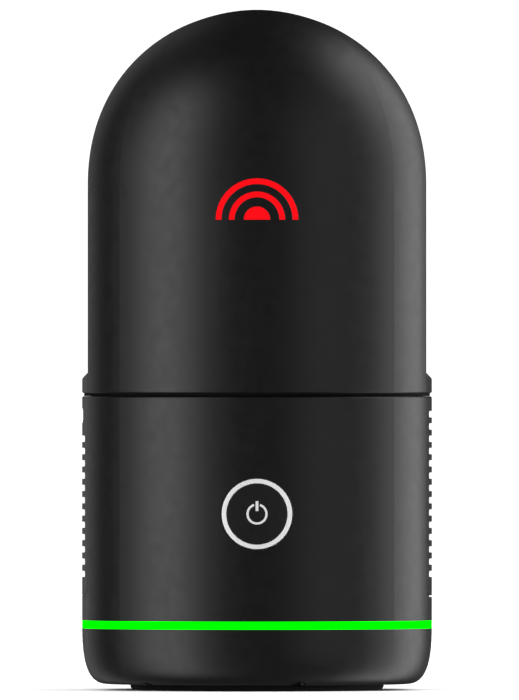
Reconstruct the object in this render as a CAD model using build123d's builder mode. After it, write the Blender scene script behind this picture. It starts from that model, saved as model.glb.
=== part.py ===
from build123d import *
from math import cos, pi, radians, sin, sqrt, tan
import os

# Compact terrestrial laser scanner, standing on its foot pad. Millimetres, +Z up, origin at the centre of
# the pad's underside. The front, with the power button, faces -Y. Head and body share one rounded section.

os.makedirs("parts", exist_ok=True)

# ---------------------------------------------------------------- driving dimensions
HALF_WIDTH = 40.0
HALF_DEPTH = 34.0
SIDE_RADIUS = 49.0
CORNER_RADIUS = 24.0
FRONT_RADIUS = 48.0
WALL = 2.0
FIT = 0.12  # gap between two covers that lie edge to edge
EDGE_CHAMFER = 0.25

PAD_HEIGHT = 1.33
PAD_RADIUS = 28.98
LIGHT_BOTTOM = 14.1
LIGHT_TOP = 15.9
HOUSING_TOP = 67.09
HEAD_BOTTOM = 67.84
WING_EDGE = 38.65  # half width of the section where the wings end and the slot begins

BASE_RUN = 0.675  # Bezier handle lengths of the base's rounded edge
BASE_TUCK = 0.712
BASE_FLAT = 0.8585  # scale of the section at the flat underside

DOME_START = 115.58
DOME_TOP = 157.87  # where the dome curve would close; the slot takes its top away
DOME_RISE = 0.706
DOME_CROWN = 0.382
DOME_SECTIONS = 16
DOME_LEADS = (8, 6, 4, 2, 0)  # full-size slices this far below the dome keep the sides straight
BASE_SECTIONS = 8

STRIP_DEPTH = 6.0  # how far in from the widest point a side strip can reach
STRIP_BOTTOM = 21.5
STRIP_CORNER = 4.0
VENT_PITCH = 2.81
VENT_HEIGHT = 1.5
VENT_LENGTH = 16.5
VENT_TOP = 63.0
DOOR_VENTS = 14
PANEL_VENTS = 12
PORT_HEIGHT = 62.7
PORT_WIDTH = 10.1
PORT_OPENING = 3.4

BUTTON_HEIGHT = 40.4
BUTTON_RING_RADIUS = 8.0
BUTTON_RING_BORE = 6.975
BUTTON_RADIUS = 6.875

HINGE_X = 38.7
HINGE_Z = 22.5
HINGE_PIN_RADIUS = 0.4

SOCKET_BORE = 9.0
SOCKET_RADIUS = 12.0
SOCKET_DEPTH = 10.0

DECK_BOTTOM = 64.8
DECK_TOP = 66.8
BEARING_FLOOR = 60.0
BALL_CIRCLE = 25.4
BALL_RADIUS = 1.2
BALL_COUNT = 24
RACE_GAP = 0.8  # from the ball circle to the flank of either ring
CAGE_HALF = 0.35

GEAR_MODULE = 0.5
SUN_TEETH = 54
PINION_TEETH = 12
GEAR_CENTRES = GEAR_MODULE * (SUN_TEETH + PINION_TEETH) / 2

TABLE_BOTTOM = 69.8
TABLE_TOP = 71.4
TABLE_RADIUS = 31.9

SHELL_FLOOR_TOP = 73.0
SLOPE_SUM = 111.15  # x + z along the 45 degree slopes below the scanning fan
SADDLE_TOP = 98.0

MIRROR_Z = 116.0
MIRROR_RADIUS = 10.0
MIRROR_GLASS = 1.5
CHEEK = 1.5
CHEEK_HALF_WIDTH = 35.5
CHEEK_TOP = 151.5
CAMERA_LEVELS = (92.0, 134.0)
CAMERA_TURN = 45.0

# ---------------------------------------------------------------- shared geometry
# One quarter of the section: a side arc, a corner arc and a front arc, tangent to each other.
side_centre = Vector(HALF_WIDTH - SIDE_RADIUS, 0)
front_centre = Vector(0, HALF_DEPTH - FRONT_RADIUS)
centre_line = front_centre - side_centre
side_reach = SIDE_RADIUS - CORNER_RADIUS
front_reach = FRONT_RADIUS - CORNER_RADIUS
foot_distance = (side_reach**2 - front_reach**2 + centre_line.length**2) / (2 * centre_line.length)
foot_height = sqrt(side_reach**2 - foot_distance**2)
along = centre_line.normalized()
corner_centre = side_centre + along * foot_distance + Vector(-along.Y, along.X) * foot_height
side_normal = (corner_centre - side_centre).normalized()
front_normal = (corner_centre - front_centre).normalized()
corner_normal = (side_normal + front_normal).normalized()
SLOT_HALF = corner_centre.Y + sqrt(CORNER_RADIUS**2 - (WING_EDGE - corner_centre.X) ** 2)


def section(inset=0.0, scale=1.0):
    """Draw the closed body section in the current line builder, moved in by inset, then scaled."""
    corner_radius = CORNER_RADIUS - inset
    side_end = (corner_centre + side_normal * corner_radius) * scale
    front_end = (corner_centre + front_normal * corner_radius) * scale
    corner_mid = (corner_centre + corner_normal * corner_radius) * scale
    side_mid = (HALF_WIDTH - inset) * scale
    front_mid = (HALF_DEPTH - inset) * scale
    for x in (1, -1):
        ThreePointArc((x * side_end.X, -side_end.Y), (x * side_mid, 0), (x * side_end.X, side_end.Y))
        ThreePointArc((-front_end.X, x * front_end.Y), (0, x * front_mid), (front_end.X, x * front_end.Y))
        for y in (1, -1):
            start = (x * side_end.X, y * side_end.Y)
            middle = (x * corner_mid.X, y * corner_mid.Y)
            end = (x * front_end.X, y * front_end.Y)
            ThreePointArc(start, middle, end)


def section_face(height, inset=0.0, scale=1.0):
    """One filled body section at a height."""
    with BuildSketch(Plane.XY.offset(height)) as outline:
        with BuildLine():
            section(inset, scale)
        make_face()
    return outline.sketch


def section_ring(height, outer_inset, inner_inset):
    """The ring between two insets of the body section at a height."""
    with BuildSketch(Plane.XY.offset(height)) as ring:
        with BuildLine():
            section(outer_inset)
        make_face()
        with BuildLine():
            section(inner_inset)
        make_face(mode=Mode.SUBTRACT)
    return ring.sketch


def bezier(values, t):
    """Value at t of a cubic Bezier curve with four control values."""
    weights = ((1 - t) ** 3, 3 * (1 - t) ** 2 * t, 3 * (1 - t) * t**2, t**3)
    return sum(weight * value for weight, value in zip(weights, values))


def dome_point(t, inset=0.0):
    """Scale and height of the dome curve at t; inset lowers its top."""
    top = DOME_TOP - inset
    scale = bezier((1, 1, DOME_CROWN, 0), t)
    height = bezier((DOME_START, DOME_START + DOME_RISE * (top - DOME_START), top, top), t)
    return scale, height


def find(function, target, low=0.0, high=1.0):
    """Parameter between low and high where a falling function meets a target."""
    for _ in range(60):
        middle = (low + high) / 2
        if function(middle) > target:
            low = middle
        else:
            high = middle
    return (low + high) / 2


dome_end = find(lambda t: dome_point(t)[0], SLOT_HALF / HALF_DEPTH)


def dome_scale(height):
    """Scale of the section on the dome at a height."""
    return dome_point(find(lambda t: -dome_point(t)[1], -height))[0]


def head_solid(inset, bottom):
    """Fill the current part builder with the head's outer form, moved in by inset."""
    extrude(section_face(bottom, inset), amount=DOME_START - DOME_LEADS[0] - bottom)
    if inset == 0:
        chamfer(faces().sort_by(Axis.Z)[0].edges(), EDGE_CHAMFER)
    slices = [section_face(DOME_START - lead, inset) for lead in DOME_LEADS]
    for step in range(1, DOME_SECTIONS + 1):
        scale, height = dome_point(dome_end * step / DOME_SECTIONS, inset)
        slices.append(section_face(height, inset, scale))
    loft(slices)


def strip_outline(x, edge_gap):
    """Outline of a side strip on a plane facing +X: round lower corners, square top."""
    half = SLOT_HALF - edge_gap
    bottom = STRIP_BOTTOM + edge_gap
    with BuildSketch(side_plane(x)) as outline:
        with BuildLine():
            corners = [(-half, HOUSING_TOP), (-half, bottom), (half, bottom), (half, HOUSING_TOP)]
            FilletPolyline(*corners, radius=STRIP_CORNER)
            Line(corners[-1], corners[0])
        make_face()
    return outline.sketch


def vent_slots(count, lowest):
    """Sketch a column of vent slots on a plane facing X, the lowest one at a height."""
    with Locations((0, lowest + (count - 1) * VENT_PITCH / 2)):
        with GridLocations(1, VENT_PITCH, 1, count):
            SlotOverall(VENT_LENGTH, VENT_HEIGHT)


def gear_face(height, centre_x, teeth, turn):
    """Outline of a small spur gear with straight flanks; turn is the angle of its first tooth."""
    pitch_radius = GEAR_MODULE * teeth / 2
    half_tooth = 0.2 * pi * GEAR_MODULE
    root = -1.25 * GEAR_MODULE
    tip = 0.8 * GEAR_MODULE
    slope = tan(radians(20))
    with BuildSketch(Plane.XY.offset(height)) as gear:
        with Locations((centre_x, 0)):
            Circle(pitch_radius + root)
            with PolarLocations(0, teeth, start_angle=turn):
                with Locations((pitch_radius, 0)):
                    Polygon(
                        (root - 0.3, half_tooth - root * slope),
                        (tip, half_tooth - tip * slope),
                        (tip, -half_tooth + tip * slope),
                        (root - 0.3, -half_tooth + root * slope),
                        align=None,
                    )
    return gear.sketch


def block(low, high, mode=Mode.ADD):
    """Add a box between two opposite corners to the current part builder, or cut it."""
    centre = [(a + b) / 2 for a, b in zip(low, high)]
    size = [b - a for a, b in zip(low, high)]
    with Locations(tuple(centre)):
        Box(*size, mode=mode)


def save(builder, name):
    """Label a finished piece and write it as its own file."""
    builder.part.label = name
    export_step(builder.part, f"parts/{name}.step")


def front_plane(y):
    """Plane facing -Y at a given y: sketch x is X and sketch y is Z."""
    return Plane((0, y, 0), x_dir=(1, 0, 0), z_dir=(0, -1, 0))


def rear_plane(y):
    """Plane facing +Y at a given y: sketch x is -X and sketch y is Z."""
    return Plane((0, y, 0), x_dir=(-1, 0, 0), z_dir=(0, 1, 0))


def side_plane(x):
    """Plane facing +X at a given x: sketch x is Y and sketch y is Z."""
    return Plane((x, 0, 0), x_dir=(0, 1, 0), z_dir=(1, 0, 0))


# ---------------------------------------------------------------- base: screws' places and foot pad
screw_places = [(-24.3, -21.5), (9.4, -28.6), (34.5, -6.1), (24.3, 21.5), (-9.4, 28.6), (-34.5, 6.1)]
SCREW_RADIUS = 1.1
SCREW_HEAD_RADIUS = 1.7
SCREW_RECESS_RADIUS = 1.85
SCREW_SEAT = 4.2
SCREW_HEAD = 1.7
SCREW_HEX = 0.85
SCREW_HEX_DEPTH = 0.9
SCREW_CLEARANCE = 0.15
POST_RADIUS = 2.8
POST_TOP = 20.4
SCREW_TOP = 21.4

with BuildPart() as foot_pad:
    with BuildSketch():
        Circle(PAD_RADIUS)
        Circle(SOCKET_RADIUS + 0.5, mode=Mode.SUBTRACT)
    extrude(amount=PAD_HEIGHT)
    fillet(foot_pad.edges().filter_by(GeomType.CIRCLE).group_by(Axis.Z)[0].sort_by(SortBy.RADIUS)[-1], 1.0)
save(foot_pad, "foot_pad")

# ---------------------------------------------------------------- base cover
COVER_CAVITY_INSET = 4.0
COVER_FLOOR = 3.6
RELEASE_Z = 7.5
RELEASE_WIDTH = 10.0
RELEASE_HEIGHT = 4.6
RELEASE_GAP = 0.15

base_knee = LIGHT_BOTTOM - BASE_RUN * (LIGHT_BOTTOM - PAD_HEIGHT)
base_tuck = BASE_FLAT + BASE_TUCK * (1 - BASE_FLAT)

with BuildPart() as base_form:
    base_slices = [section_face(LIGHT_BOTTOM + rise) for rise in (9, 6, 3)]
    for step in range(BASE_SECTIONS + 1):
        t = step / BASE_SECTIONS
        height = bezier((LIGHT_BOTTOM, base_knee, PAD_HEIGHT, PAD_HEIGHT), t)
        base_slices.append(section_face(height, 0, bezier((1, 1, base_tuck, BASE_FLAT), t)))
    loft(base_slices)
    split(bisect_by=Plane.XY.offset(LIGHT_BOTTOM), keep=Keep.BOTTOM)

with BuildPart() as base_cover:
    add(base_form.part)
    cavity_floor = section_face(COVER_FLOOR, COVER_CAVITY_INSET)
    extrude(cavity_floor, amount=LIGHT_BOTTOM - COVER_FLOOR, mode=Mode.SUBTRACT)
    with BuildSketch(Plane.XY.offset(COVER_FLOOR)):
        with Locations(*screw_places):
            Circle(POST_RADIUS)
    extrude(amount=LIGHT_BOTTOM - COVER_FLOOR)
    add(base_form.part, mode=Mode.INTERSECT)
    with BuildSketch():
        Circle(SOCKET_RADIUS + 0.05)
    extrude(amount=COVER_FLOOR, mode=Mode.SUBTRACT)
    with BuildSketch():
        with Locations(*screw_places):
            Circle(SCREW_RECESS_RADIUS)
    extrude(amount=SCREW_SEAT, mode=Mode.SUBTRACT)
    with BuildSketch():
        with Locations(*screw_places):
            Circle(SCREW_RADIUS + SCREW_CLEARANCE)
    extrude(amount=LIGHT_BOTTOM, mode=Mode.SUBTRACT)
    with BuildSketch(rear_plane(0)):
        with Locations((0, RELEASE_Z)):
            SlotOverall(RELEASE_WIDTH + 2 * RELEASE_GAP, RELEASE_HEIGHT + 2 * RELEASE_GAP)
    extrude(amount=HALF_DEPTH, mode=Mode.SUBTRACT)
save(base_cover, "base_cover")

with BuildPart() as base_screws:
    with BuildSketch(Plane.XY.offset(SCREW_SEAT - SCREW_HEAD)):
        with Locations(*screw_places):
            Circle(SCREW_HEAD_RADIUS)
    extrude(amount=SCREW_HEAD)
    with BuildSketch(Plane.XY.offset(SCREW_SEAT - SCREW_HEAD)):
        with Locations(*screw_places):
            RegularPolygon(SCREW_HEX, 6)
    extrude(amount=SCREW_HEX_DEPTH, mode=Mode.SUBTRACT)
    with BuildSketch(Plane.XY.offset(SCREW_SEAT)):
        with Locations(*screw_places):
            Circle(SCREW_RADIUS)
    extrude(amount=SCREW_TOP - SCREW_SEAT)
save(base_screws, "base_screws")

# ---------------------------------------------------------------- quick-release socket
SOCKET_BOTTOM = 0.6
SOCKET_ROOF = 2.4
SOCKET_CHAMFER = 0.8
SOCKET_TOP = SOCKET_BOTTOM + SOCKET_DEPTH + SOCKET_ROOF
FLANGE_RADIUS = 17.0
FLANGE_TOP = 5.0
PUSHER_BOTTOM = 6.2
PUSHER_THICKNESS = 1.5
PUSHER_WIDTH = 8.0
PUSHER_GAP = 0.2
RELEASE_FLANGE = 27.9

with BuildPart() as mount_socket:
    with BuildSketch(Plane.XY.offset(SOCKET_BOTTOM)):
        Circle(SOCKET_RADIUS)
    extrude(amount=SOCKET_TOP - SOCKET_BOTTOM)
    with BuildSketch(Plane.XY.offset(COVER_FLOOR)):
        Circle(FLANGE_RADIUS)
    extrude(amount=FLANGE_TOP - COVER_FLOOR)
    with BuildSketch(Plane.XY.offset(SOCKET_BOTTOM)):
        Circle(SOCKET_BORE)
    extrude(amount=SOCKET_DEPTH, mode=Mode.SUBTRACT)
    mouth_edges = mount_socket.edges().filter_by(GeomType.CIRCLE).group_by(Axis.Z)[0]
    chamfer(mouth_edges.sort_by(SortBy.RADIUS)[0], SOCKET_CHAMFER)
    with BuildSketch(rear_plane(SOCKET_BORE - 2)):
        with Locations((0, PUSHER_BOTTOM + PUSHER_THICKNESS / 2)):
            Rectangle(PUSHER_WIDTH + 2 * PUSHER_GAP, PUSHER_THICKNESS + 2 * PUSHER_GAP)
    extrude(amount=FLANGE_RADIUS - SOCKET_BORE, mode=Mode.SUBTRACT)
save(mount_socket, "mount_socket")

# Pressing the release button drives the pusher into the bore, where it frees the mate's sprung pawl.
with BuildPart() as release_pusher:
    pusher_low = (-PUSHER_WIDTH / 2, SOCKET_BORE + 0.15, PUSHER_BOTTOM)
    pusher_high = (PUSHER_WIDTH / 2, RELEASE_FLANGE, PUSHER_BOTTOM + PUSHER_THICKNESS)
    block(pusher_low, pusher_high)
save(release_pusher, "release_pusher")

with BuildPart() as release_button:
    with BuildSketch(rear_plane(RELEASE_FLANGE + 1)):
        with Locations((0, RELEASE_Z)):
            SlotOverall(RELEASE_WIDTH, RELEASE_HEIGHT)
    extrude(amount=HALF_DEPTH - RELEASE_FLANGE - 1)
    add(base_form.part, mode=Mode.INTERSECT)
    with BuildSketch(rear_plane(RELEASE_FLANGE)):
        with Locations((0, RELEASE_Z)):
            SlotOverall(RELEASE_WIDTH + 2.5, RELEASE_HEIGHT + 0.8)
    extrude(amount=1.0)
save(release_button, "release_button")

# ---------------------------------------------------------------- light line
LIGHT_INNER_INSET = 6.5
BOARD_OUTER_INSET = 4.2
BOARD_INNER_INSET = 8.0
LIGHT_BOARD_BOTTOM = 12.2
LIGHT_BOARD_TOP = 13.2
LAMP_COUNT = 28
LAMP_SIZE = 1.4
LAMP_HEIGHT = 0.8
LAMP_ELLIPSE = (33.1, 28.2)

with BuildPart() as light_ring:
    extrude(section_ring(LIGHT_BOTTOM, 0, LIGHT_INNER_INSET), amount=LIGHT_TOP - LIGHT_BOTTOM)
    with BuildSketch(Plane.XY.offset(LIGHT_BOTTOM)):
        with Locations(*screw_places):
            Circle(SCREW_RADIUS + SCREW_CLEARANCE)
    extrude(amount=LIGHT_TOP - LIGHT_BOTTOM, mode=Mode.SUBTRACT)
save(light_ring, "light_ring")

with BuildPart() as light_board:
    board_ring = section_ring(LIGHT_BOARD_BOTTOM, BOARD_OUTER_INSET, BOARD_INNER_INSET)
    extrude(board_ring, amount=LIGHT_BOARD_TOP - LIGHT_BOARD_BOTTOM)
    with BuildSketch(Plane.XY.offset(LIGHT_BOARD_BOTTOM)):
        with Locations(*screw_places):
            Circle(POST_RADIUS + 0.2)
    extrude(amount=LIGHT_BOARD_TOP - LIGHT_BOARD_BOTTOM, mode=Mode.SUBTRACT)
save(light_board, "light_board")

# The lamps stand on an ellipse that follows the board, with none where a screw post stands.
with BuildPart() as lamps:
    with BuildSketch(Plane.XY.offset(LIGHT_BOARD_TOP)):
        for lamp in range(LAMP_COUNT):
            angle = 2 * pi * (lamp + 0.5) / LAMP_COUNT
            spot = Vector(LAMP_ELLIPSE[0] * cos(angle), LAMP_ELLIPSE[1] * sin(angle))
            nearest = min((spot - Vector(*place)).length for place in screw_places)
            if nearest > POST_RADIUS + 1.2:
                with Locations(spot):
                    Rectangle(LAMP_SIZE, LAMP_SIZE)
    extrude(amount=LAMP_HEIGHT)
save(lamps, "lamps")

# ---------------------------------------------------------------- lower housing
DECK_POSTS = [(x, y) for x in (24.6, -24.6) for y in (22.6, -22.6)]
DECK_POST_BOTTOM = 54.0
DECK_SCREW_RADIUS = 0.9
DECK_SCREW_LENGTH = 8.0
BUTTON_HOLE_RADIUS = BUTTON_RING_RADIUS + 0.25
HINGE_HOLLOW_RADIUS = 1.65
HINGE_HOLLOW_TIP = 0.4
SILL_REBATE_X = 39.62
SILL_REBATE_Z = 21.14
SILL_REBATE_HALF = 4.2
HINGE_HOLLOW_TAPER = 3.0

with BuildPart() as body_form:
    extrude(section_face(LIGHT_TOP), amount=HOUSING_TOP - LIGHT_TOP)
    chamfer(body_form.faces().sort_by(Axis.Z)[-1].edges(), EDGE_CHAMFER)

with BuildPart() as lower_housing:
    add(body_form.part)
    extrude(section_face(LIGHT_TOP, WALL), amount=HOUSING_TOP - LIGHT_TOP, mode=Mode.SUBTRACT)
    with BuildSketch(Plane.XY.offset(LIGHT_TOP)):
        with Locations(*screw_places):
            Circle(POST_RADIUS)
    extrude(amount=POST_TOP - LIGHT_TOP)
    with BuildSketch(Plane.XY.offset(DECK_POST_BOTTOM)):
        with Locations(*DECK_POSTS):
            Circle(POST_RADIUS)
    extrude(amount=DECK_BOTTOM - DECK_POST_BOTTOM)
    add(body_form.part, mode=Mode.INTERSECT)
    with BuildSketch(Plane.XY.offset(LIGHT_TOP)):
        with Locations(*screw_places):
            Circle(SCREW_RADIUS)
    extrude(amount=SCREW_TOP - LIGHT_TOP, mode=Mode.SUBTRACT)
    with BuildSketch(Plane.XY.offset(DECK_POST_BOTTOM + 2)):
        with Locations(*DECK_POSTS):
            Circle(DECK_SCREW_RADIUS)
    extrude(amount=DECK_BOTTOM - DECK_POST_BOTTOM - 2, mode=Mode.SUBTRACT)
    for face_x in (HALF_WIDTH - STRIP_DEPTH, -HALF_WIDTH):
        extrude(strip_outline(face_x, 0), amount=STRIP_DEPTH, mode=Mode.SUBTRACT)
    with BuildSketch(Plane((HINGE_X, 0, HINGE_Z), x_dir=(0, 1, 0), z_dir=(1, 0, 0))):
        straight = SLOT_HALF - STRIP_CORNER
        end = straight + HINGE_HOLLOW_TAPER
        rim = [(end, 0), (end, HINGE_HOLLOW_TIP), (straight, HINGE_HOLLOW_RADIUS)]
        Polygon(*rim, *[(-y, z) for y, z in reversed(rim)], align=None)
    revolve(axis=Axis((HINGE_X, 0, HINGE_Z), (0, 1, 0)), mode=Mode.SUBTRACT)
    rebate_low = (SILL_REBATE_X, -SILL_REBATE_HALF, SILL_REBATE_Z)
    block(rebate_low, (HALF_WIDTH + 1, SILL_REBATE_HALF, HINGE_Z), Mode.SUBTRACT)
    with BuildSketch(front_plane(-HALF_DEPTH + 6)):
        with Locations((0, BUTTON_HEIGHT)):
            Circle(BUTTON_HOLE_RADIUS)
    extrude(amount=6, mode=Mode.SUBTRACT)
save(lower_housing, "lower_housing")

# ---------------------------------------------------------------- side strips
with BuildPart() as strip_blank:
    extrude(section_ring(STRIP_BOTTOM, 0, WALL), amount=HOUSING_TOP - STRIP_BOTTOM)
    add(body_form.part, mode=Mode.INTERSECT)
    extrude(strip_outline(HALF_WIDTH - STRIP_DEPTH, FIT), amount=STRIP_DEPTH, mode=Mode.INTERSECT)

NOTCH_INNER = 2.4
NOTCH_OUTER = 4.1
NOTCH_REACH = 0.85
HINGE_PIN_HALF = 6.0
with BuildPart() as battery_door:
    add(strip_blank.part)
    with BuildSketch(side_plane(HALF_WIDTH - STRIP_DEPTH)):
        vent_slots(DOOR_VENTS, VENT_TOP - (DOOR_VENTS - 1) * VENT_PITCH)
    extrude(amount=STRIP_DEPTH, mode=Mode.SUBTRACT)
    for low_y, high_y in ((NOTCH_INNER, NOTCH_OUTER), (-NOTCH_OUTER, -NOTCH_INNER)):
        block((36, low_y, 21), (HINGE_X + NOTCH_REACH, high_y, HINGE_Z + NOTCH_REACH), Mode.SUBTRACT)
    with BuildSketch(front_plane(0)):
        with Locations((HINGE_X, HINGE_Z)):
            Circle(HINGE_PIN_RADIUS)
    extrude(amount=HINGE_PIN_HALF, both=True, mode=Mode.SUBTRACT)
save(battery_door, "battery_door")

with BuildPart() as hinge_pin:
    with BuildSketch(front_plane(0)):
        with Locations((HINGE_X, HINGE_Z)):
            Circle(HINGE_PIN_RADIUS)
    extrude(amount=HINGE_PIN_HALF, both=True)
save(hinge_pin, "hinge_pin")

BRACKET_X = 34.0
LUG_WIDTH = 1.4
LUG_RADIUS = 0.7
with BuildPart() as hinge_bracket:
    block((BRACKET_X, -4.5, 20.6), (BRACKET_X + 1, 4.5, 25))
    for low_y in (NOTCH_INNER + 0.15, -NOTCH_OUTER + 0.15):
        lug_low = (BRACKET_X + 1, low_y, HINGE_Z - LUG_RADIUS)
        block(lug_low, (HINGE_X, low_y + LUG_WIDTH, HINGE_Z + LUG_RADIUS))
        with BuildSketch(front_plane(low_y + LUG_WIDTH)):
            with Locations((HINGE_X, HINGE_Z)):
                Circle(LUG_RADIUS)
        extrude(amount=LUG_WIDTH)
        with BuildSketch(front_plane(low_y + LUG_WIDTH)):
            with Locations((HINGE_X, HINGE_Z)):
                Circle(HINGE_PIN_RADIUS + 0.03)
        extrude(amount=LUG_WIDTH, mode=Mode.SUBTRACT)
save(hinge_bracket, "hinge_bracket")

FLANGE_INSET = 2.05
FLANGE_LAP = 2.0
FLANGE_BOTTOM = 23.0
FLANGE_HEIGHT = 41.0
with BuildPart() as panel_flange:
    extrude(section_ring(FLANGE_BOTTOM, FLANGE_INSET, FLANGE_INSET + 1), amount=FLANGE_HEIGHT)
    with BuildSketch(side_plane(-HALF_WIDTH)):
        with Locations((0, FLANGE_BOTTOM + FLANGE_HEIGHT / 2)):
            Rectangle(2 * (SLOT_HALF + FLANGE_LAP), FLANGE_HEIGHT)
    extrude(amount=STRIP_DEPTH, mode=Mode.INTERSECT)

with BuildPart() as vent_panel:
    mirror(strip_blank.part, about=Plane.YZ)
    add(panel_flange.part)
    block((-38.2, -10, 24), (-36.9, 10, 63.5))
    with BuildSketch(side_plane(-HALF_WIDTH)):
        vent_slots(PANEL_VENTS, VENT_TOP - (DOOR_VENTS - 1) * VENT_PITCH)
        with Locations((0, PORT_HEIGHT)):
            SlotOverall(PORT_WIDTH, PORT_OPENING)
    extrude(amount=STRIP_DEPTH, mode=Mode.SUBTRACT)
save(vent_panel, "vent_panel")

# ---------------------------------------------------------------- battery
BAY_HALF = 11.9
BAY_BOTTOM = 21.8
BAY_TOP = 57.5
BAY_BACK = -20.5
BATTERY_HALF = 10.0
BATTERY_BOTTOM = 26.0
BATTERY_TOP = 56.0
BATTERY_BACK = -18.5
BATTERY_FRONT = 36.0
BAY_GAP = 0.3
BAY_WALL = 1.2
CONTACT_HALF = 1.2

with BuildPart() as battery_bay:
    block((BAY_BACK, -BAY_HALF, BAY_BOTTOM), (BRACKET_X, BAY_HALF, BAY_TOP))
    inner_low = (BAY_BACK + BAY_WALL, -BATTERY_HALF - BAY_GAP, BATTERY_BOTTOM - BAY_GAP)
    inner_high = (BRACKET_X, BATTERY_HALF + BAY_GAP, BATTERY_TOP + BAY_GAP)
    block(inner_low, inner_high, Mode.SUBTRACT)
save(battery_bay, "battery_bay")

with BuildPart() as battery:
    block((BATTERY_BACK, -BATTERY_HALF, BATTERY_BOTTOM), (BATTERY_FRONT, BATTERY_HALF, BATTERY_TOP))
    fillet(battery.edges().filter_by(Axis.X), 2.5)
    with BuildSketch(side_plane(BATTERY_FRONT - 0.8)):
        with Locations((0, BATTERY_TOP - 6)):
            SlotOverall(12, 3)
    extrude(amount=0.8, mode=Mode.SUBTRACT)
save(battery, "battery")

with BuildPart() as battery_contacts:
    for height in (34, 39, 43, 48):
        contact_low = (BAY_BACK + BAY_WALL, -1, height - CONTACT_HALF)
        block(contact_low, (BATTERY_BACK - 0.05, 1, height + CONTACT_HALF))
save(battery_contacts, "battery_contacts")

# ---------------------------------------------------------------- chassis and boards
BOARD_THICKNESS = 1.6
BOARD_FACE = 14.4
BOARD_TOP = 57.0

with BuildPart() as chassis_plate:
    extrude(section_face(POST_TOP, WALL + 0.1), amount=BAY_BOTTOM - POST_TOP)
    with BuildSketch(Plane.XY.offset(POST_TOP)):
        Rectangle(2 * (BRACKET_X - 0.1), 2 * HALF_DEPTH)
    extrude(amount=BAY_BOTTOM - POST_TOP, mode=Mode.INTERSECT)
    with BuildSketch(Plane.XY.offset(POST_TOP)):
        with Locations(*screw_places):
            Circle(SCREW_RADIUS)
        with GridLocations(40, 44, 2, 2):
            Circle(3)
    extrude(amount=BAY_BOTTOM - POST_TOP, mode=Mode.SUBTRACT)
save(chassis_plate, "chassis_plate")

with BuildPart() as main_board:
    block((-30, -BOARD_FACE - BOARD_THICKNESS, BAY_BOTTOM), (30, -BOARD_FACE, BOARD_TOP))
    block((-26, -BOARD_FACE, 40), (-14, -BOARD_FACE + 1.4, 50))
    block((12, -BOARD_FACE, 28), (22, -BOARD_FACE + 1.2, 38))
save(main_board, "main_board")

with BuildPart() as power_board:
    block((-28, BOARD_FACE, BAY_BOTTOM), (28, BOARD_FACE + BOARD_THICKNESS, BOARD_TOP))
    for centre_x in (-18, -6, 6, 18):
        with BuildSketch(rear_plane(BOARD_FACE + BOARD_THICKNESS)):
            with Locations((centre_x, 46)):
                Circle(4)
        extrude(amount=7)
    block((-20, BOARD_FACE + BOARD_THICKNESS, 26), (-4, BOARD_FACE + BOARD_THICKNESS + 6, 38))
    block((6, BOARD_FACE + BOARD_THICKNESS, 26), (20, BOARD_FACE + BOARD_THICKNESS + 5, 36))
save(power_board, "power_board")

SINK_BACK = -BOARD_FACE - BOARD_THICKNESS
with BuildPart() as heat_sink:
    block((-15, SINK_BACK - 1.6, 26), (15, SINK_BACK, 54))
    for fin in range(11):
        fin_x = -15 + fin * 2.9
        block((fin_x, SINK_BACK - 6.5, 26), (fin_x + 1, SINK_BACK - 1.6, 54))
save(heat_sink, "heat_sink")

# ---------------------------------------------------------------- fan behind the fixed vents
FAN_FRONT = -34.0
FAN_BACK = -26.0
FAN_Z = 42.0
FAN_HALF = 14.0
FAN_BORE = 13.0
FAN_HUB = 5.0
FAN_SPINDLE = 0.75
FAN_BLADES = 7
with BuildPart() as fan_frame:
    block((FAN_FRONT, -FAN_HALF, FAN_Z - FAN_HALF), (FAN_BACK, FAN_HALF, FAN_Z + FAN_HALF))
    with BuildSketch(side_plane(FAN_FRONT)):
        with Locations((0, FAN_Z)):
            Circle(FAN_BORE)
    extrude(amount=FAN_BACK - FAN_FRONT, mode=Mode.SUBTRACT)
    with BuildSketch(side_plane(FAN_BACK - 1)):
        with Locations((0, FAN_Z)):
            Circle(FAN_HUB - 0.5)
            with PolarLocations(8.75, 4):
                Rectangle(10.5, 1.6)
    extrude(amount=1)
    with BuildSketch(side_plane(FAN_BACK - 5)):
        with Locations((0, FAN_Z)):
            Circle(FAN_SPINDLE)
    extrude(amount=4)
save(fan_frame, "fan_frame")

with BuildPart() as fan_rotor:
    with BuildSketch(side_plane(FAN_FRONT + 0.6)):
        with Locations((0, FAN_Z)):
            Circle(FAN_HUB)
            Circle(FAN_SPINDLE + 0.05, mode=Mode.SUBTRACT)
    extrude(amount=6)
    for blade in range(FAN_BLADES):
        angle = 2 * pi * blade / FAN_BLADES
        outward = (0, sin(angle), cos(angle))
        hub = Plane((FAN_FRONT + 3.6, 0, FAN_Z), x_dir=(1, 0, 0), z_dir=outward)
        with BuildSketch(hub.offset(FAN_HUB - 0.4)):
            Rectangle(6.2, 0.9, rotation=35)
        extrude(amount=FAN_BORE - FAN_HUB - 0.4)
save(fan_rotor, "fan_rotor")

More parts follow.
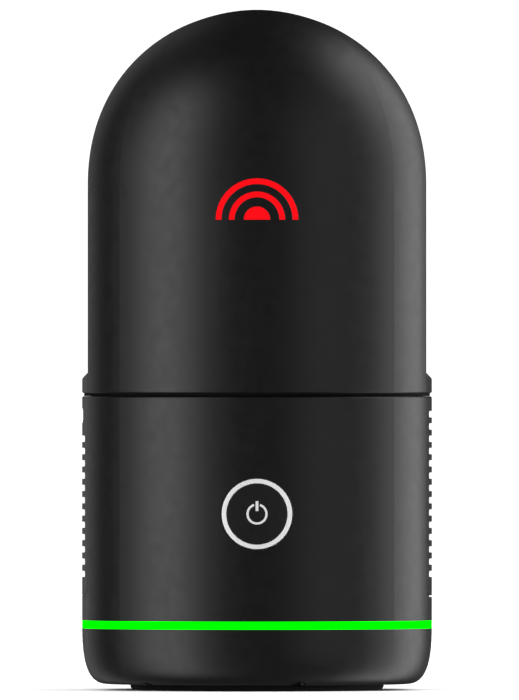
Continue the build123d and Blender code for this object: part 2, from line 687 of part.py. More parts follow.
# ---------------------------------------------------------------- charging and data port
PORT_MOUTH = -38.4
PORT_BACK = -31.6
PORT_BOARD_TOP = 61.0
PORT_SHELL = (9.0, 3.2)
PORT_INSIDE = (8.4, 2.6)
with BuildPart() as port:
    with BuildSketch(side_plane(PORT_MOUTH)):
        with Locations((0, PORT_BOARD_TOP + 1.6)):
            SlotOverall(*PORT_SHELL)
            SlotOverall(*PORT_INSIDE, mode=Mode.SUBTRACT)
    extrude(amount=PORT_BACK - PORT_MOUTH)
    with BuildSketch(side_plane(PORT_BACK - 1)):
        with Locations((0, PORT_BOARD_TOP + 1.6)):
            SlotOverall(*PORT_SHELL)
    extrude(amount=1)
    block((PORT_MOUTH + 1, -3.3, PORT_BOARD_TOP + 1.25), (PORT_BACK - 0.5, 3.3, PORT_BOARD_TOP + 1.95))
save(port, "port")

with BuildPart() as port_board:
    block((-36.3, -7, PORT_BOARD_TOP - 0.8), (-31, 7, PORT_BOARD_TOP))
save(port_board, "port_board")

# ---------------------------------------------------------------- power button
FRONT_WALL_BACK = -30.8
PLUNGER_RADIUS = 1.5
with BuildPart() as button_ring:
    with BuildSketch(front_plane(FRONT_WALL_BACK)):
        with Locations((0, BUTTON_HEIGHT)):
            Circle(BUTTON_RING_RADIUS)
    extrude(amount=6)
    add(body_form.part, mode=Mode.INTERSECT)
    with BuildSketch(front_plane(FRONT_WALL_BACK + 0.8)):
        with Locations((0, BUTTON_HEIGHT)):
            Circle(BUTTON_RING_RADIUS + 1.5)
    extrude(amount=0.8)
    with BuildSketch(front_plane(FRONT_WALL_BACK + 0.8)):
        with Locations((0, BUTTON_HEIGHT)):
            Circle(BUTTON_RING_BORE)
    extrude(amount=6, mode=Mode.SUBTRACT)
save(button_ring, "button_ring")

ICON_DEPTH = 0.3
ICON_RADIUS = 2.4
ICON_STROKE = 0.49
ICON_GAP = 36.0
ICON_BAR = (0.63, 2.24)
ICON_BAR_RISE = 1.81
with BuildPart() as icon_form:
    with BuildSketch(front_plane(2 - HALF_DEPTH)):
        with Locations((0, BUTTON_HEIGHT)):
            Circle(ICON_RADIUS)
            Circle(ICON_RADIUS - ICON_STROKE, mode=Mode.SUBTRACT)
            opening = 1.5 * ICON_RADIUS * tan(radians(ICON_GAP / 2))
            corners = [(0, 0), (opening, 1.5 * ICON_RADIUS), (-opening, 1.5 * ICON_RADIUS)]
            Polygon(*corners, align=None, mode=Mode.SUBTRACT)
        with Locations((0, BUTTON_HEIGHT + ICON_BAR_RISE)):
            Rectangle(*ICON_BAR)
    extrude(amount=3)
    add(body_form.part, mode=Mode.INTERSECT)
    extrude(section_face(BUTTON_HEIGHT - 10, ICON_DEPTH), amount=20, mode=Mode.SUBTRACT)
save(icon_form, "button_icon")

with BuildPart() as power_button:
    with BuildSketch(front_plane(FRONT_WALL_BACK + 0.9)):
        with Locations((0, BUTTON_HEIGHT)):
            Circle(BUTTON_RADIUS)
    extrude(amount=6)
    add(body_form.part, mode=Mode.INTERSECT)
    with BuildSketch(front_plane(FRONT_WALL_BACK + 1.6)):
        with Locations((0, BUTTON_HEIGHT)):
            Circle(BUTTON_RADIUS + 0.9)
    extrude(amount=0.7)
    with BuildSketch(front_plane(FRONT_WALL_BACK + 2.2)):
        with Locations((0, BUTTON_HEIGHT)):
            Circle(PLUNGER_RADIUS)
    extrude(amount=0.6)
    add(icon_form.part, mode=Mode.SUBTRACT)
save(power_button, "power_button")

SWITCH_BOARD = -24.0
with BuildPart() as power_switch:
    block((-3, SWITCH_BOARD - 3.5, BUTTON_HEIGHT - 3), (3, SWITCH_BOARD - 1, BUTTON_HEIGHT + 3))
    with BuildSketch(front_plane(SWITCH_BOARD - 3.5)):
        with Locations((0, BUTTON_HEIGHT)):
            Circle(PLUNGER_RADIUS)
    extrude(amount=0.5)
    block((-9, SWITCH_BOARD - 1, BUTTON_HEIGHT - 10), (9, SWITCH_BOARD, BUTTON_HEIGHT + 10))
save(power_switch, "power_switch")

# ---------------------------------------------------------------- deck, bearing and fixed gear
BEARING_OUTER = 28.5
HUB_OUTER = 22.3
HUB_INNER = 20.3
COLUMN_RADIUS = 9.5
COLUMN_BORE = 7.0
GEAR_BOTTOM = 67.2
GEAR_TOP = 69.3
RACE_HEIGHT = 62.4
SEAM_LIP_INSET = 0.45
SEAM_LIP_INNER = WALL + 0.8
SEAM_LIP_BOTTOM = HOUSING_TOP + 0.06
SEAM_LIP_TOP = 67.6
HUB_BOTTOM = 60.5
DECK_SCREW_HEAD = 1.3

with BuildPart() as top_deck:
    extrude(section_face(DECK_BOTTOM, WALL + 0.1), amount=DECK_TOP - DECK_BOTTOM)
    extrude(section_ring(DECK_TOP, WALL + 0.1, SEAM_LIP_INNER), amount=SEAM_LIP_TOP - DECK_TOP)
    seam_lip = section_ring(SEAM_LIP_BOTTOM, SEAM_LIP_INSET, SEAM_LIP_INNER)
    extrude(seam_lip, amount=SEAM_LIP_TOP - SEAM_LIP_BOTTOM)
    with BuildSketch(Plane.XY.offset(BAY_TOP + 0.3)):
        Circle(BEARING_OUTER + 2)
    extrude(amount=DECK_TOP - BAY_TOP - 0.3)
    with BuildSketch(Plane.XY.offset(BEARING_FLOOR)):
        Circle(BEARING_OUTER)
        Circle(COLUMN_RADIUS, mode=Mode.SUBTRACT)
    extrude(amount=DECK_TOP - BEARING_FLOOR, mode=Mode.SUBTRACT)
    with BuildSketch(Plane.XY.offset(DECK_TOP)):
        Circle(COLUMN_RADIUS)
    extrude(amount=GEAR_BOTTOM - DECK_TOP)
    with BuildSketch(Plane.XY.offset(BEARING_FLOOR)):
        Circle(COLUMN_BORE)
    extrude(amount=GEAR_BOTTOM - BEARING_FLOOR, mode=Mode.SUBTRACT)
    with Locations(*[(x, y, DECK_TOP) for x, y in DECK_POSTS]):
        CounterSinkHole(DECK_SCREW_RADIUS + 0.05, DECK_SCREW_HEAD + 0.15, depth=DECK_TOP - DECK_BOTTOM)
save(top_deck, "top_deck")

with BuildPart() as deck_screws:
    with Locations(*[(x, y, DECK_TOP - 0.1) for x, y in DECK_POSTS]):
        Cone(DECK_SCREW_RADIUS, DECK_SCREW_HEAD, 0.45, align=(Align.CENTER, Align.CENTER, Align.MAX))
        Cylinder(DECK_SCREW_RADIUS, DECK_SCREW_LENGTH, align=(Align.CENTER, Align.CENTER, Align.MAX))
save(deck_screws, "deck_screws")


def bearing_ring(inner, outer, low, high):
    """Revolved bearing ring with a round groove for the balls."""
    with BuildPart() as ring:
        with BuildSketch(Plane.XZ):
            with Locations(((inner + outer) / 2, (low + high) / 2)):
                Rectangle(outer - inner, high - low)
            with Locations((BALL_CIRCLE, RACE_HEIGHT)):
                Circle(BALL_RADIUS + 0.03, mode=Mode.SUBTRACT)
        revolve(axis=Axis.Z)
    return ring


bearing_inner = bearing_ring(HUB_OUTER, BALL_CIRCLE - RACE_GAP, HUB_BOTTOM, 64.3)
save(bearing_inner, "bearing_inner")
bearing_outer = bearing_ring(BALL_CIRCLE + RACE_GAP, BEARING_OUTER, BEARING_FLOOR, DECK_BOTTOM)
save(bearing_outer, "bearing_outer")

with BuildPart() as bearing_balls:
    with PolarLocations(BALL_CIRCLE, BALL_COUNT):
        with Locations((0, 0, RACE_HEIGHT)):
            Sphere(BALL_RADIUS)
save(bearing_balls, "bearing_balls")

with BuildPart() as bearing_cage:
    with BuildSketch(Plane.XY.offset(RACE_HEIGHT - 0.9)):
        Circle(BALL_CIRCLE + CAGE_HALF)
        Circle(BALL_CIRCLE - CAGE_HALF, mode=Mode.SUBTRACT)
    extrude(amount=2.4)
    with PolarLocations(BALL_CIRCLE, BALL_COUNT):
        with Locations((0, 0, RACE_HEIGHT)):
            Sphere(BALL_RADIUS + 0.04, mode=Mode.SUBTRACT)
save(bearing_cage, "bearing_cage")

with BuildPart() as fixed_gear:
    extrude(gear_face(GEAR_BOTTOM, 0, SUN_TEETH, 180 / SUN_TEETH), amount=GEAR_TOP - GEAR_BOTTOM)
    with BuildSketch(Plane.XY.offset(GEAR_BOTTOM)):
        Circle(COLUMN_BORE)
    extrude(amount=GEAR_TOP - GEAR_BOTTOM, mode=Mode.SUBTRACT)
save(fixed_gear, "fixed_gear")

SLIP_RING_RADIUS = 3.5
with BuildPart() as slip_ring_body:
    with BuildSketch(Plane.XY.offset(BEARING_FLOOR)):
        Circle(COLUMN_BORE - 0.05)
    extrude(amount=6.4)
    with BuildSketch(Plane.XY.offset(BEARING_FLOOR + 1)):
        Circle(SLIP_RING_RADIUS + 0.1)
    extrude(amount=6, mode=Mode.SUBTRACT)
save(slip_ring_body, "slip_ring_body")

SEAL_OUTER = 31.0
SEAL_INNER = 29.5
with BuildPart() as dust_seal:
    with BuildSketch(Plane.XY.offset(DECK_TOP)):
        Circle(SEAL_OUTER)
        Circle(SEAL_INNER, mode=Mode.SUBTRACT)
    extrude(amount=TABLE_BOTTOM - DECK_TOP - 0.25)
save(dust_seal, "dust_seal")

# ---------------------------------------------------------------- turning head: table and its drive
with BuildPart() as turntable:
    with BuildSketch(Plane.XY.offset(TABLE_BOTTOM)):
        Circle(TABLE_RADIUS)
        Circle(5, mode=Mode.SUBTRACT)
        with Locations((GEAR_CENTRES, 0)):
            Circle(1.5, mode=Mode.SUBTRACT)
    extrude(amount=TABLE_TOP - TABLE_BOTTOM)
    with BuildSketch(Plane.XY.offset(HUB_BOTTOM)):
        Circle(HUB_OUTER)
        Circle(HUB_INNER, mode=Mode.SUBTRACT)
    extrude(amount=TABLE_BOTTOM - HUB_BOTTOM)
save(turntable, "turntable")

with BuildPart() as slip_ring_rotor:
    with BuildSketch(Plane.XY.offset(BEARING_FLOOR + 1.5)):
        Circle(SLIP_RING_RADIUS)
    extrude(amount=14)
    with BuildSketch(Plane.XY.offset(TABLE_TOP)):
        Circle(6.5)
    extrude(amount=1)
save(slip_ring_rotor, "slip_ring_rotor")

TURN_MOTOR_RADIUS = 7.0
TURN_MOTOR_HEIGHT = 12.0
PINION_SHAFT = 0.75
with BuildPart() as turn_motor:
    with BuildSketch(Plane.XY.offset(TABLE_TOP)):
        with Locations((GEAR_CENTRES, 0)):
            Circle(TURN_MOTOR_RADIUS)
    extrude(amount=TURN_MOTOR_HEIGHT)
    with BuildSketch(Plane.XY.offset(TABLE_TOP)):
        with Locations((GEAR_CENTRES, 0)):
            Circle(PINION_SHAFT + 0.03)
    extrude(amount=5, mode=Mode.SUBTRACT)
save(turn_motor, "turn_motor")

with BuildPart() as turn_pinion:
    extrude(gear_face(GEAR_BOTTOM + 0.2, GEAR_CENTRES, PINION_TEETH, 0), amount=1.7)
    with BuildSketch(Plane.XY.offset(GEAR_BOTTOM + 0.2)):
        with Locations((GEAR_CENTRES, 0)):
            Circle(PINION_SHAFT)
    extrude(amount=8)
save(turn_pinion, "turn_pinion")

# ---------------------------------------------------------------- turning head: saddle between the wings
SADDLE_HALF = 10.9
SADDLE_WALL = 1.6
END_BLOCK = 34.0
with BuildPart() as head_form:
    head_solid(0, HEAD_BOTTOM)

with BuildPart() as saddle:
    with BuildSketch(front_plane(SADDLE_HALF)):
        slope_foot = SLOPE_SUM - HALF_WIDTH
        slope_head = SLOPE_SUM - SADDLE_TOP
        corners = [(HALF_WIDTH, HEAD_BOTTOM), (HALF_WIDTH, slope_foot), (slope_head, SADDLE_TOP)]
        mirrored = [(-x, z) for x, z in reversed(corners)]
        Polygon(*corners, *mirrored, align=None)
    extrude(amount=2 * SADDLE_HALF)
    fillet(saddle.edges().filter_by(Axis.Y).group_by(Axis.Z)[1], 1.0)
    fillet(saddle.edges().filter_by(Axis.Y).group_by(Axis.Z)[-1], 4.0)
    add(head_form.part, mode=Mode.INTERSECT)
    block((-END_BLOCK, -SADDLE_HALF, HEAD_BOTTOM), (END_BLOCK, SADDLE_HALF, TABLE_TOP), Mode.SUBTRACT)
    with BuildSketch(front_plane(SADDLE_HALF - SADDLE_WALL)):
        rise = SADDLE_WALL * sqrt(2)
        inner_head = SLOPE_SUM - SADDLE_TOP - rise + SADDLE_WALL
        cavity = [(END_BLOCK, TABLE_TOP), (END_BLOCK, SLOPE_SUM - END_BLOCK - rise)]
        cavity.append((inner_head, SADDLE_TOP - SADDLE_WALL))
        mirrored = [(-x, z) for x, z in reversed(cavity)]
        Polygon(*cavity, *mirrored, align=None)
    extrude(amount=2 * (SADDLE_HALF - SADDLE_WALL), mode=Mode.SUBTRACT)
save(saddle, "saddle")

# ---------------------------------------------------------------- turning head: wings
BOSS_PLACES = [(31.0, 82.0), (-31.0, 82.0), (22.0, 140.0), (-22.0, 140.0)]
BOSS_RADIUS = 2.75
BOSS_BORE = 0.8
CHEEK_BACK = SLOT_HALF + CHEEK
with BuildPart() as head_cavity:
    head_solid(WALL, SHELL_FLOOR_TOP)
    with BuildSketch(front_plane(HALF_DEPTH)):
        with Locations(*BOSS_PLACES):
            Circle(BOSS_RADIUS)
    extrude(amount=HALF_DEPTH - CHEEK_BACK, mode=Mode.SUBTRACT)
    with BuildSketch(front_plane(-CHEEK_BACK)):
        with Locations(*BOSS_PLACES):
            Circle(BOSS_RADIUS)
    extrude(amount=HALF_DEPTH - CHEEK_BACK, mode=Mode.SUBTRACT)

with BuildPart() as wing:
    add(head_form.part)
    split(bisect_by=front_plane(-SLOT_HALF), keep=Keep.TOP)
    add(head_cavity.part, mode=Mode.SUBTRACT)
    with BuildSketch(Plane.XY.offset(HEAD_BOTTOM)):
        Circle(TABLE_RADIUS + 0.2)
    extrude(amount=TABLE_TOP - HEAD_BOTTOM, mode=Mode.SUBTRACT)
    with BuildSketch(front_plane(-CHEEK_BACK)):
        with Locations(*BOSS_PLACES):
            Circle(BOSS_BORE)
    extrude(amount=5, mode=Mode.SUBTRACT)

BADGE_HEIGHT = 107.3
BADGE_RADIUS = 9.4
BADGE_DEPTH = 0.3
with BuildPart() as front_badge:
    with BuildSketch(front_plane(-HALF_DEPTH + 3)):
        with Locations((0, BADGE_HEIGHT)):
            Circle(BADGE_RADIUS)
            Circle(BADGE_RADIUS - 1.3, mode=Mode.SUBTRACT)
            Circle(BADGE_RADIUS - 3.0)
            Circle(BADGE_RADIUS - 4.3, mode=Mode.SUBTRACT)
            Circle(BADGE_RADIUS - 6.4)
        with Locations((0, BADGE_HEIGHT + BADGE_RADIUS)):
            Rectangle(4 * BADGE_RADIUS, 2 * BADGE_RADIUS, mode=Mode.INTERSECT)
    extrude(amount=4)
    add(head_form.part, mode=Mode.INTERSECT)
    extrude(section_face(BADGE_HEIGHT - 5, BADGE_DEPTH), amount=25, mode=Mode.SUBTRACT)
save(front_badge, "front_badge")

with BuildPart() as front_shell:
    add(wing.part)
    add(front_badge.part, mode=Mode.SUBTRACT)
save(front_shell, "front_shell")


def camera_plane(height, side, depth):
    """Plane on the rear wing facing along its surface normal, sunk by a depth; side is 1 or -1."""
    scale = dome_scale(height) if height > DOME_START else 1.0
    normal = Vector(side * cos(radians(CAMERA_TURN)), sin(radians(CAMERA_TURN)))
    centre = Vector(side * corner_centre.X, corner_centre.Y)
    spot = (centre + normal * CORNER_RADIUS) * scale
    slope = 0.0
    if height > DOME_START:
        slope = (dome_scale(height - 0.5) - dome_scale(height + 0.5)) * spot.dot(normal) / scale
    facing = Vector(normal.X, normal.Y, slope).normalized()
    origin = Vector(spot.X, spot.Y, height) - facing * depth
    return Plane(origin, z_dir=facing)


camera_places = [(height, side) for height in CAMERA_LEVELS for side in (1, -1)]
CAMERA_GLASS_RADIUS = 3.4
CAMERA_GLASS_SEAT = 1.4
CAMERA_RADIUS = 3.1
CAMERA_DEPTH = 6.5
with BuildPart() as rear_shell:
    mirror(wing.part, about=Plane.XZ)
    for height, side in camera_places:
        with BuildSketch(camera_plane(height, side, CAMERA_GLASS_SEAT)):
            Circle(CAMERA_GLASS_RADIUS + 0.05)
        extrude(amount=3, mode=Mode.SUBTRACT)
        with BuildSketch(camera_plane(height, side, 2 * WALL)):
            Circle(CAMERA_RADIUS + 0.05)
        extrude(amount=2 * WALL, mode=Mode.SUBTRACT)
save(rear_shell, "rear_shell")

with BuildPart() as camera_windows:
    for height, side in camera_places:
        with BuildSketch(camera_plane(height, side, CAMERA_GLASS_SEAT)):
            Circle(CAMERA_GLASS_RADIUS)
        extrude(amount=1.0)
save(camera_windows, "camera_windows")

with BuildPart() as cameras:
    for height, side in camera_places:
        with BuildSketch(camera_plane(height, side, CAMERA_DEPTH)):
            Circle(CAMERA_RADIUS)
        extrude(amount=CAMERA_DEPTH - CAMERA_GLASS_SEAT - 0.05)
        with BuildSketch(camera_plane(height, side, CAMERA_GLASS_SEAT + 1.0)):
            Circle(CAMERA_RADIUS - 1.0)
        extrude(amount=1.0, mode=Mode.SUBTRACT)
save(cameras, "cameras")


def cheek_face(y, window_radius):
    """Outline of the flat inner side plate of a wing, with one round opening on the mirror axis."""
    top = CHEEK_TOP
    bottom = SHELL_FLOOR_TOP + 0.1
    shoulder = DOME_START - 1.1
    rise = top - shoulder
    with BuildSketch(front_plane(y)) as cheek:
        with BuildLine():
            for side in (1, -1):
                edge = side * CHEEK_HALF_WIDTH
                Line((edge, bottom), (edge, shoulder))
                Bezier((edge, shoulder), (edge, shoulder + 0.826 * rise), (0.2806 * edge, top), (0, top))
            Line((CHEEK_HALF_WIDTH, bottom), (-CHEEK_HALF_WIDTH, bottom))
        make_face()
        with Locations((0, MIRROR_Z)):
            Circle(window_radius, mode=Mode.SUBTRACT)
    return cheek.sketch


CHEEK_SCREW_RADIUS = 0.8
CHEEK_SCREW_HEAD = 1.7
CHEEK_SCREW_LENGTH = 6.0


def screw_seats(plane):
    """Cut the four countersunk seats of a cheek plate from its slot side."""
    with Locations(plane):
        with Locations(*BOSS_PLACES):
            CounterSinkHole(CHEEK_SCREW_RADIUS + 0.05, CHEEK_SCREW_HEAD + 0.05, depth=CHEEK)


def screws_on(plane):
    """Add four countersunk screws standing in a cheek plate and the bosses behind it."""
    with Locations(plane):
        with Locations(*[(x, z, -0.05) for x, z in BOSS_PLACES]):
            Cone(CHEEK_SCREW_RADIUS, CHEEK_SCREW_HEAD, 0.9, align=(Align.CENTER, Align.CENTER, Align.MAX))
            Cylinder(CHEEK_SCREW_RADIUS, CHEEK_SCREW_LENGTH, align=(Align.CENTER, Align.CENTER, Align.MAX))


WINDOW_RADIUS = 9.0
SHAFT_RADIUS = 1.5
with BuildPart() as front_cheek:
    extrude(cheek_face(-SLOT_HALF, WINDOW_RADIUS + 0.1), amount=CHEEK)
    screw_seats(rear_plane(-SLOT_HALF))
save(front_cheek, "front_cheek")

with BuildPart() as rear_cheek:
    extrude(cheek_face(CHEEK_BACK, SHAFT_RADIUS + 1.5), amount=CHEEK)
    screw_seats(front_plane(SLOT_HALF))
save(rear_cheek, "rear_cheek")

with BuildPart() as cheek_screws:
    screws_on(rear_plane(-SLOT_HALF))
    screws_on(front_plane(SLOT_HALF))
save(cheek_screws, "cheek_screws")

# ---------------------------------------------------------------- range finder in the front wing
with BuildPart() as optics_window:
    with BuildSketch(front_plane(-SLOT_HALF - 0.1)):
        with Locations((0, MIRROR_Z)):
            Circle(WINDOW_RADIUS)
    extrude(amount=CHEEK - 0.2)
save(optics_window, "optics_window")

TUBE_END = 27.0
TUBE_BORE = 8.6
TUBE_RADIUS = 10.5
BEAM_RADIUS = 3.0
with BuildPart() as optics_tube:
    with BuildSketch(front_plane(-CHEEK_BACK)):
        with Locations((0, MIRROR_Z)):
            Circle(TUBE_RADIUS)
            Circle(TUBE_BORE, mode=Mode.SUBTRACT)
    extrude(amount=TUBE_END - CHEEK_BACK)
    with BuildSketch(front_plane(-TUBE_END + 1)):
        with Locations((0, MIRROR_Z)):
            Circle(TUBE_BORE)
            Circle(BEAM_RADIUS, mode=Mode.SUBTRACT)
    extrude(amount=1)
save(optics_tube, "optics_tube")

LENS_Y = -20.0
LENS_SPHERE = 24.0
LENS_HALF = 2.4
with BuildPart() as optics_lens:
    with BuildSketch(front_plane(LENS_Y + LENS_HALF)):
        with Locations((0, MIRROR_Z)):
            Circle(TUBE_BORE)
    extrude(amount=2 * LENS_HALF)
    for shift in (LENS_SPHERE - LENS_HALF, LENS_HALF - LENS_SPHERE):
        with Locations((0, LENS_Y + shift, MIRROR_Z)):
            Sphere(LENS_SPHERE, mode=Mode.INTERSECT)
save(optics_lens, "optics_lens")

HEAD_BOARD_FACE = 22.0
HEAD_BOARD_BACK = HEAD_BOARD_FACE + BOARD_THICKNESS
with BuildPart() as laser_board:
    block((-12, -TUBE_END - BOARD_THICKNESS, MIRROR_Z - 14), (12, -TUBE_END, MIRROR_Z + 10))
    block((-24, -HEAD_BOARD_BACK, 74), (24, -HEAD_BOARD_FACE, 101))
save(laser_board, "laser_board")

with BuildPart() as head_board:
    block((-24, HEAD_BOARD_FACE, 74), (24, HEAD_BOARD_BACK, 101))
    block((-8, HEAD_BOARD_FACE - 1.6, 80), (8, HEAD_BOARD_FACE, 94))
save(head_board, "head_board")

# ---------------------------------------------------------------- scanning mirror
MOTOR_END = 24.0
MIRROR_MOTOR_RADIUS = 12.0
ENCODER_RADIUS = 10.0
SHAFT_START = 4.5
mirror_plane = Plane((0, 0, MIRROR_Z), x_dir=(1, 0, 0), z_dir=(0, -1, 1))

with BuildPart() as mirror_motor:
    with BuildSketch(rear_plane(CHEEK_BACK)):
        with Locations((0, MIRROR_Z)):
            Circle(MIRROR_MOTOR_RADIUS)
    extrude(amount=MOTOR_END - CHEEK_BACK)
    fillet(mirror_motor.edges().filter_by(GeomType.CIRCLE).sort_by(Axis.Y)[-1], 1.0)
    with BuildSketch(rear_plane(CHEEK_BACK)):
        with Locations((0, MIRROR_Z)):
            Circle(SHAFT_RADIUS + 0.05)
    extrude(amount=MOTOR_END - CHEEK_BACK, mode=Mode.SUBTRACT)
save(mirror_motor, "mirror_motor")

with BuildPart() as mirror_form:
    with BuildSketch(rear_plane(-MIRROR_RADIUS)):
        with Locations((0, MIRROR_Z)):
            Circle(MIRROR_RADIUS)
    extrude(amount=2 * MIRROR_RADIUS + 0.2)

with BuildPart() as mirror_glass:
    add(mirror_form.part)
    split(bisect_by=mirror_plane, keep=Keep.BOTTOM)
    split(bisect_by=mirror_plane.offset(-MIRROR_GLASS), keep=Keep.TOP)
save(mirror_glass, "mirror_glass")

with BuildPart() as mirror_drum:
    add(mirror_form.part)
    split(bisect_by=mirror_plane.offset(-MIRROR_GLASS), keep=Keep.BOTTOM)
    with BuildSketch(rear_plane(SHAFT_START)):
        with Locations((0, MIRROR_Z)):
            Circle(SHAFT_RADIUS)
    extrude(amount=10, mode=Mode.SUBTRACT)
save(mirror_drum, "mirror_drum")

with BuildPart() as mirror_shaft:
    with BuildSketch(rear_plane(SHAFT_START)):
        with Locations((0, MIRROR_Z)):
            Circle(SHAFT_RADIUS)
    extrude(amount=MOTOR_END + 3 - SHAFT_START)
    with BuildSketch(rear_plane(MOTOR_END + 1)):
        with Locations((0, MIRROR_Z)):
            Circle(ENCODER_RADIUS)
    extrude(amount=1)
save(mirror_shaft, "mirror_shaft")
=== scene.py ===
"""Looks of the compact terrestrial laser scanner. Metres, +Z up, the front with the power button faces -Y."""

import math
import random

import bmesh
import bpy
from mathutils import Matrix, Vector


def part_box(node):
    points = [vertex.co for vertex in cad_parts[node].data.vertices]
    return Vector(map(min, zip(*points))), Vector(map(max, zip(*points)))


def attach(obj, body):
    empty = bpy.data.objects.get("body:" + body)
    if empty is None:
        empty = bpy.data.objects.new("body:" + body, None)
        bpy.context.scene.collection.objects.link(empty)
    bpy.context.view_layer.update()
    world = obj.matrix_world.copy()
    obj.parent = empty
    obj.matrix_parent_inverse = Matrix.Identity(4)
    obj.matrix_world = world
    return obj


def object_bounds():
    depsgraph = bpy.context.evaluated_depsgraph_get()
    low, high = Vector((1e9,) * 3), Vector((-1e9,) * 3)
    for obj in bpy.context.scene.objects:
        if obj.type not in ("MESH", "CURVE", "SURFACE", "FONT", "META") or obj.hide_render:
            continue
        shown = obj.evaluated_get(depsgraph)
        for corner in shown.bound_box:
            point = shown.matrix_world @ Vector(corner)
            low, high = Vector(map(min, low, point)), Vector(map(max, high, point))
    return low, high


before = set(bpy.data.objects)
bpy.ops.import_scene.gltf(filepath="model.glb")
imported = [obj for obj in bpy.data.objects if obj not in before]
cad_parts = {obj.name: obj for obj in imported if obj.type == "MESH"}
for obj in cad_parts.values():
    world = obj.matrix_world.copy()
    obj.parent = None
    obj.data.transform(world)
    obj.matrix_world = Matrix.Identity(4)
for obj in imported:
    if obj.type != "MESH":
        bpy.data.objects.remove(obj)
cad_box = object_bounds()
MM = 0.001


# ================================================================ node helpers
class Nodes:
    """A node tree with short calls for adding nodes and joining them."""

    def __init__(self, tree):
        self.tree = tree
        tree.nodes.clear()

    def add(self, kind, inputs=None, **settings):
        """Add a node, set its properties, and set or link its inputs by name or number."""
        node = self.tree.nodes.new(kind)
        for name, value in settings.items():
            setattr(node, name, value)
        for name, value in (inputs or {}).items():
            self.feed(node.inputs[name], value)
        return node

    def feed(self, socket, value):
        """Link an output into a socket, or set its value."""
        if isinstance(value, bpy.types.NodeSocket):
            self.tree.links.new(value, socket)
        else:
            socket.default_value = value

    def math(self, operation, a, b=0.0):
        """A maths node's output."""
        return self.add("ShaderNodeMath", {0: a, 1: b}, operation=operation).outputs[0]

    def ranged(self, value, low, high, to_low, to_high):
        """Map a value from one range to another, held at its ends."""
        inputs = {"Value": value, "From Min": low, "From Max": high, "To Min": to_low, "To Max": to_high}
        return self.add("ShaderNodeMapRange", inputs).outputs["Result"]

    def noise(self, vector, size, detail=2.0, roughness=0.5):
        """Noise with a feature size in metres."""
        inputs = {"Vector": vector, "Scale": 1.0 / size, "Detail": detail, "Roughness": roughness}
        return self.add("ShaderNodeTexNoise", inputs).outputs["Fac"]

    def cells(self, vector, size):
        """Distance to the nearest point of a field of cells with a size in metres."""
        return self.add("ShaderNodeTexVoronoi", {"Vector": vector, "Scale": 1.0 / size}).outputs["Distance"]

    def blend(self, factor, colour_a, colour_b, kind="MIX"):
        """Mix two colours."""
        node = self.add("ShaderNodeMix", data_type="RGBA", blend_type=kind)
        self.feed(node.inputs[0], factor)
        self.feed(node.inputs[6], colour_a)
        self.feed(node.inputs[7], colour_b)
        return node.outputs[2]


def rgb(red, green, blue):
    """A colour with full alpha."""
    return (red, green, blue, 1.0)


def new_material(name):
    """An empty node material and its tree."""
    material = bpy.data.materials.new(name)
    material.use_nodes = True
    return material, Nodes(material.node_tree)


def soft_edges(nodes, radius):
    """A mask near 1 on sharp edges and 0 on open surfaces, and the normal with those edges rounded."""
    rounded = nodes.add("ShaderNodeBevel", {"Radius": radius}, samples=4).outputs["Normal"]
    normal = nodes.add("ShaderNodeNewGeometry").outputs["Normal"]
    likeness = nodes.add("ShaderNodeVectorMath", {0: rounded, 1: normal}, operation="DOT_PRODUCT")
    return nodes.ranged(likeness.outputs["Value"], 0.98, 0.75, 0.0, 1.0), rounded


def relief(nodes, height, distance, normal=None):
    """The bumped normal for a height field with a depth in metres, over another normal if one is given."""
    inputs = {"Height": height, "Distance": distance, "Strength": 1.0}
    if normal is not None:
        inputs["Normal"] = normal
    return nodes.add("ShaderNodeBump", inputs).outputs["Normal"]


def finish_surface(nodes, **inputs):
    """The Principled surface and the material's output."""
    surface = nodes.add("ShaderNodeBsdfPrincipled")
    for name, value in inputs.items():
        nodes.feed(surface.inputs[name.replace("_", " ").title().replace("Ior", "IOR")], value)
    nodes.add("ShaderNodeOutputMaterial", {"Surface": surface.outputs[0]})
    return surface


# ================================================================ materials
def moulded(name, colour, roughness, grain=0.35 * MM, depth=0.008 * MM, wear=1.8, specular=0.5):
    """Moulded or painted skin: fine spark texture, slight shade changes, edges rubbed a little lighter."""
    material, nodes = new_material(name)
    place = nodes.add("ShaderNodeTexCoord").outputs["Object"]
    broad = nodes.noise(place, size=14 * MM, detail=3.0)
    cloud = nodes.noise(place, size=2.5 * MM, detail=3.0)
    fine = nodes.noise(place, size=grain, detail=2.0, roughness=0.6)
    pits = nodes.cells(place, size=grain * 1.3)
    edges, rounded = soft_edges(nodes, radius=0.25 * MM)
    shade = nodes.blend(broad, rgb(*[c * 0.88 for c in colour]), rgb(*[c * 1.12 for c in colour]))
    speckle = nodes.ranged(fine, 0.35, 0.7, 0.85, 1.25)
    grey = nodes.add("ShaderNodeCombineColor", {0: speckle, 1: speckle, 2: speckle}).outputs[0]
    shade = nodes.blend(1.0, shade, grey, "MULTIPLY")
    shade = nodes.blend(nodes.math("MULTIPLY", edges, 0.6), shade, rgb(*[c * wear + 0.002 for c in colour]))
    gloss = nodes.ranged(cloud, 0.3, 0.7, roughness - 0.03, roughness + 0.03)
    gloss = nodes.math("SUBTRACT", gloss, nodes.math("MULTIPLY", edges, 0.06))
    height = nodes.math("ADD", nodes.math("MULTIPLY", fine, 0.7), nodes.math("MULTIPLY", pits, 0.5))
    bump = relief(nodes, height, distance=depth, normal=rounded)
    finish_surface(nodes, base_color=shade, roughness=gloss, normal=bump, specular_ior_level=specular)
    return material


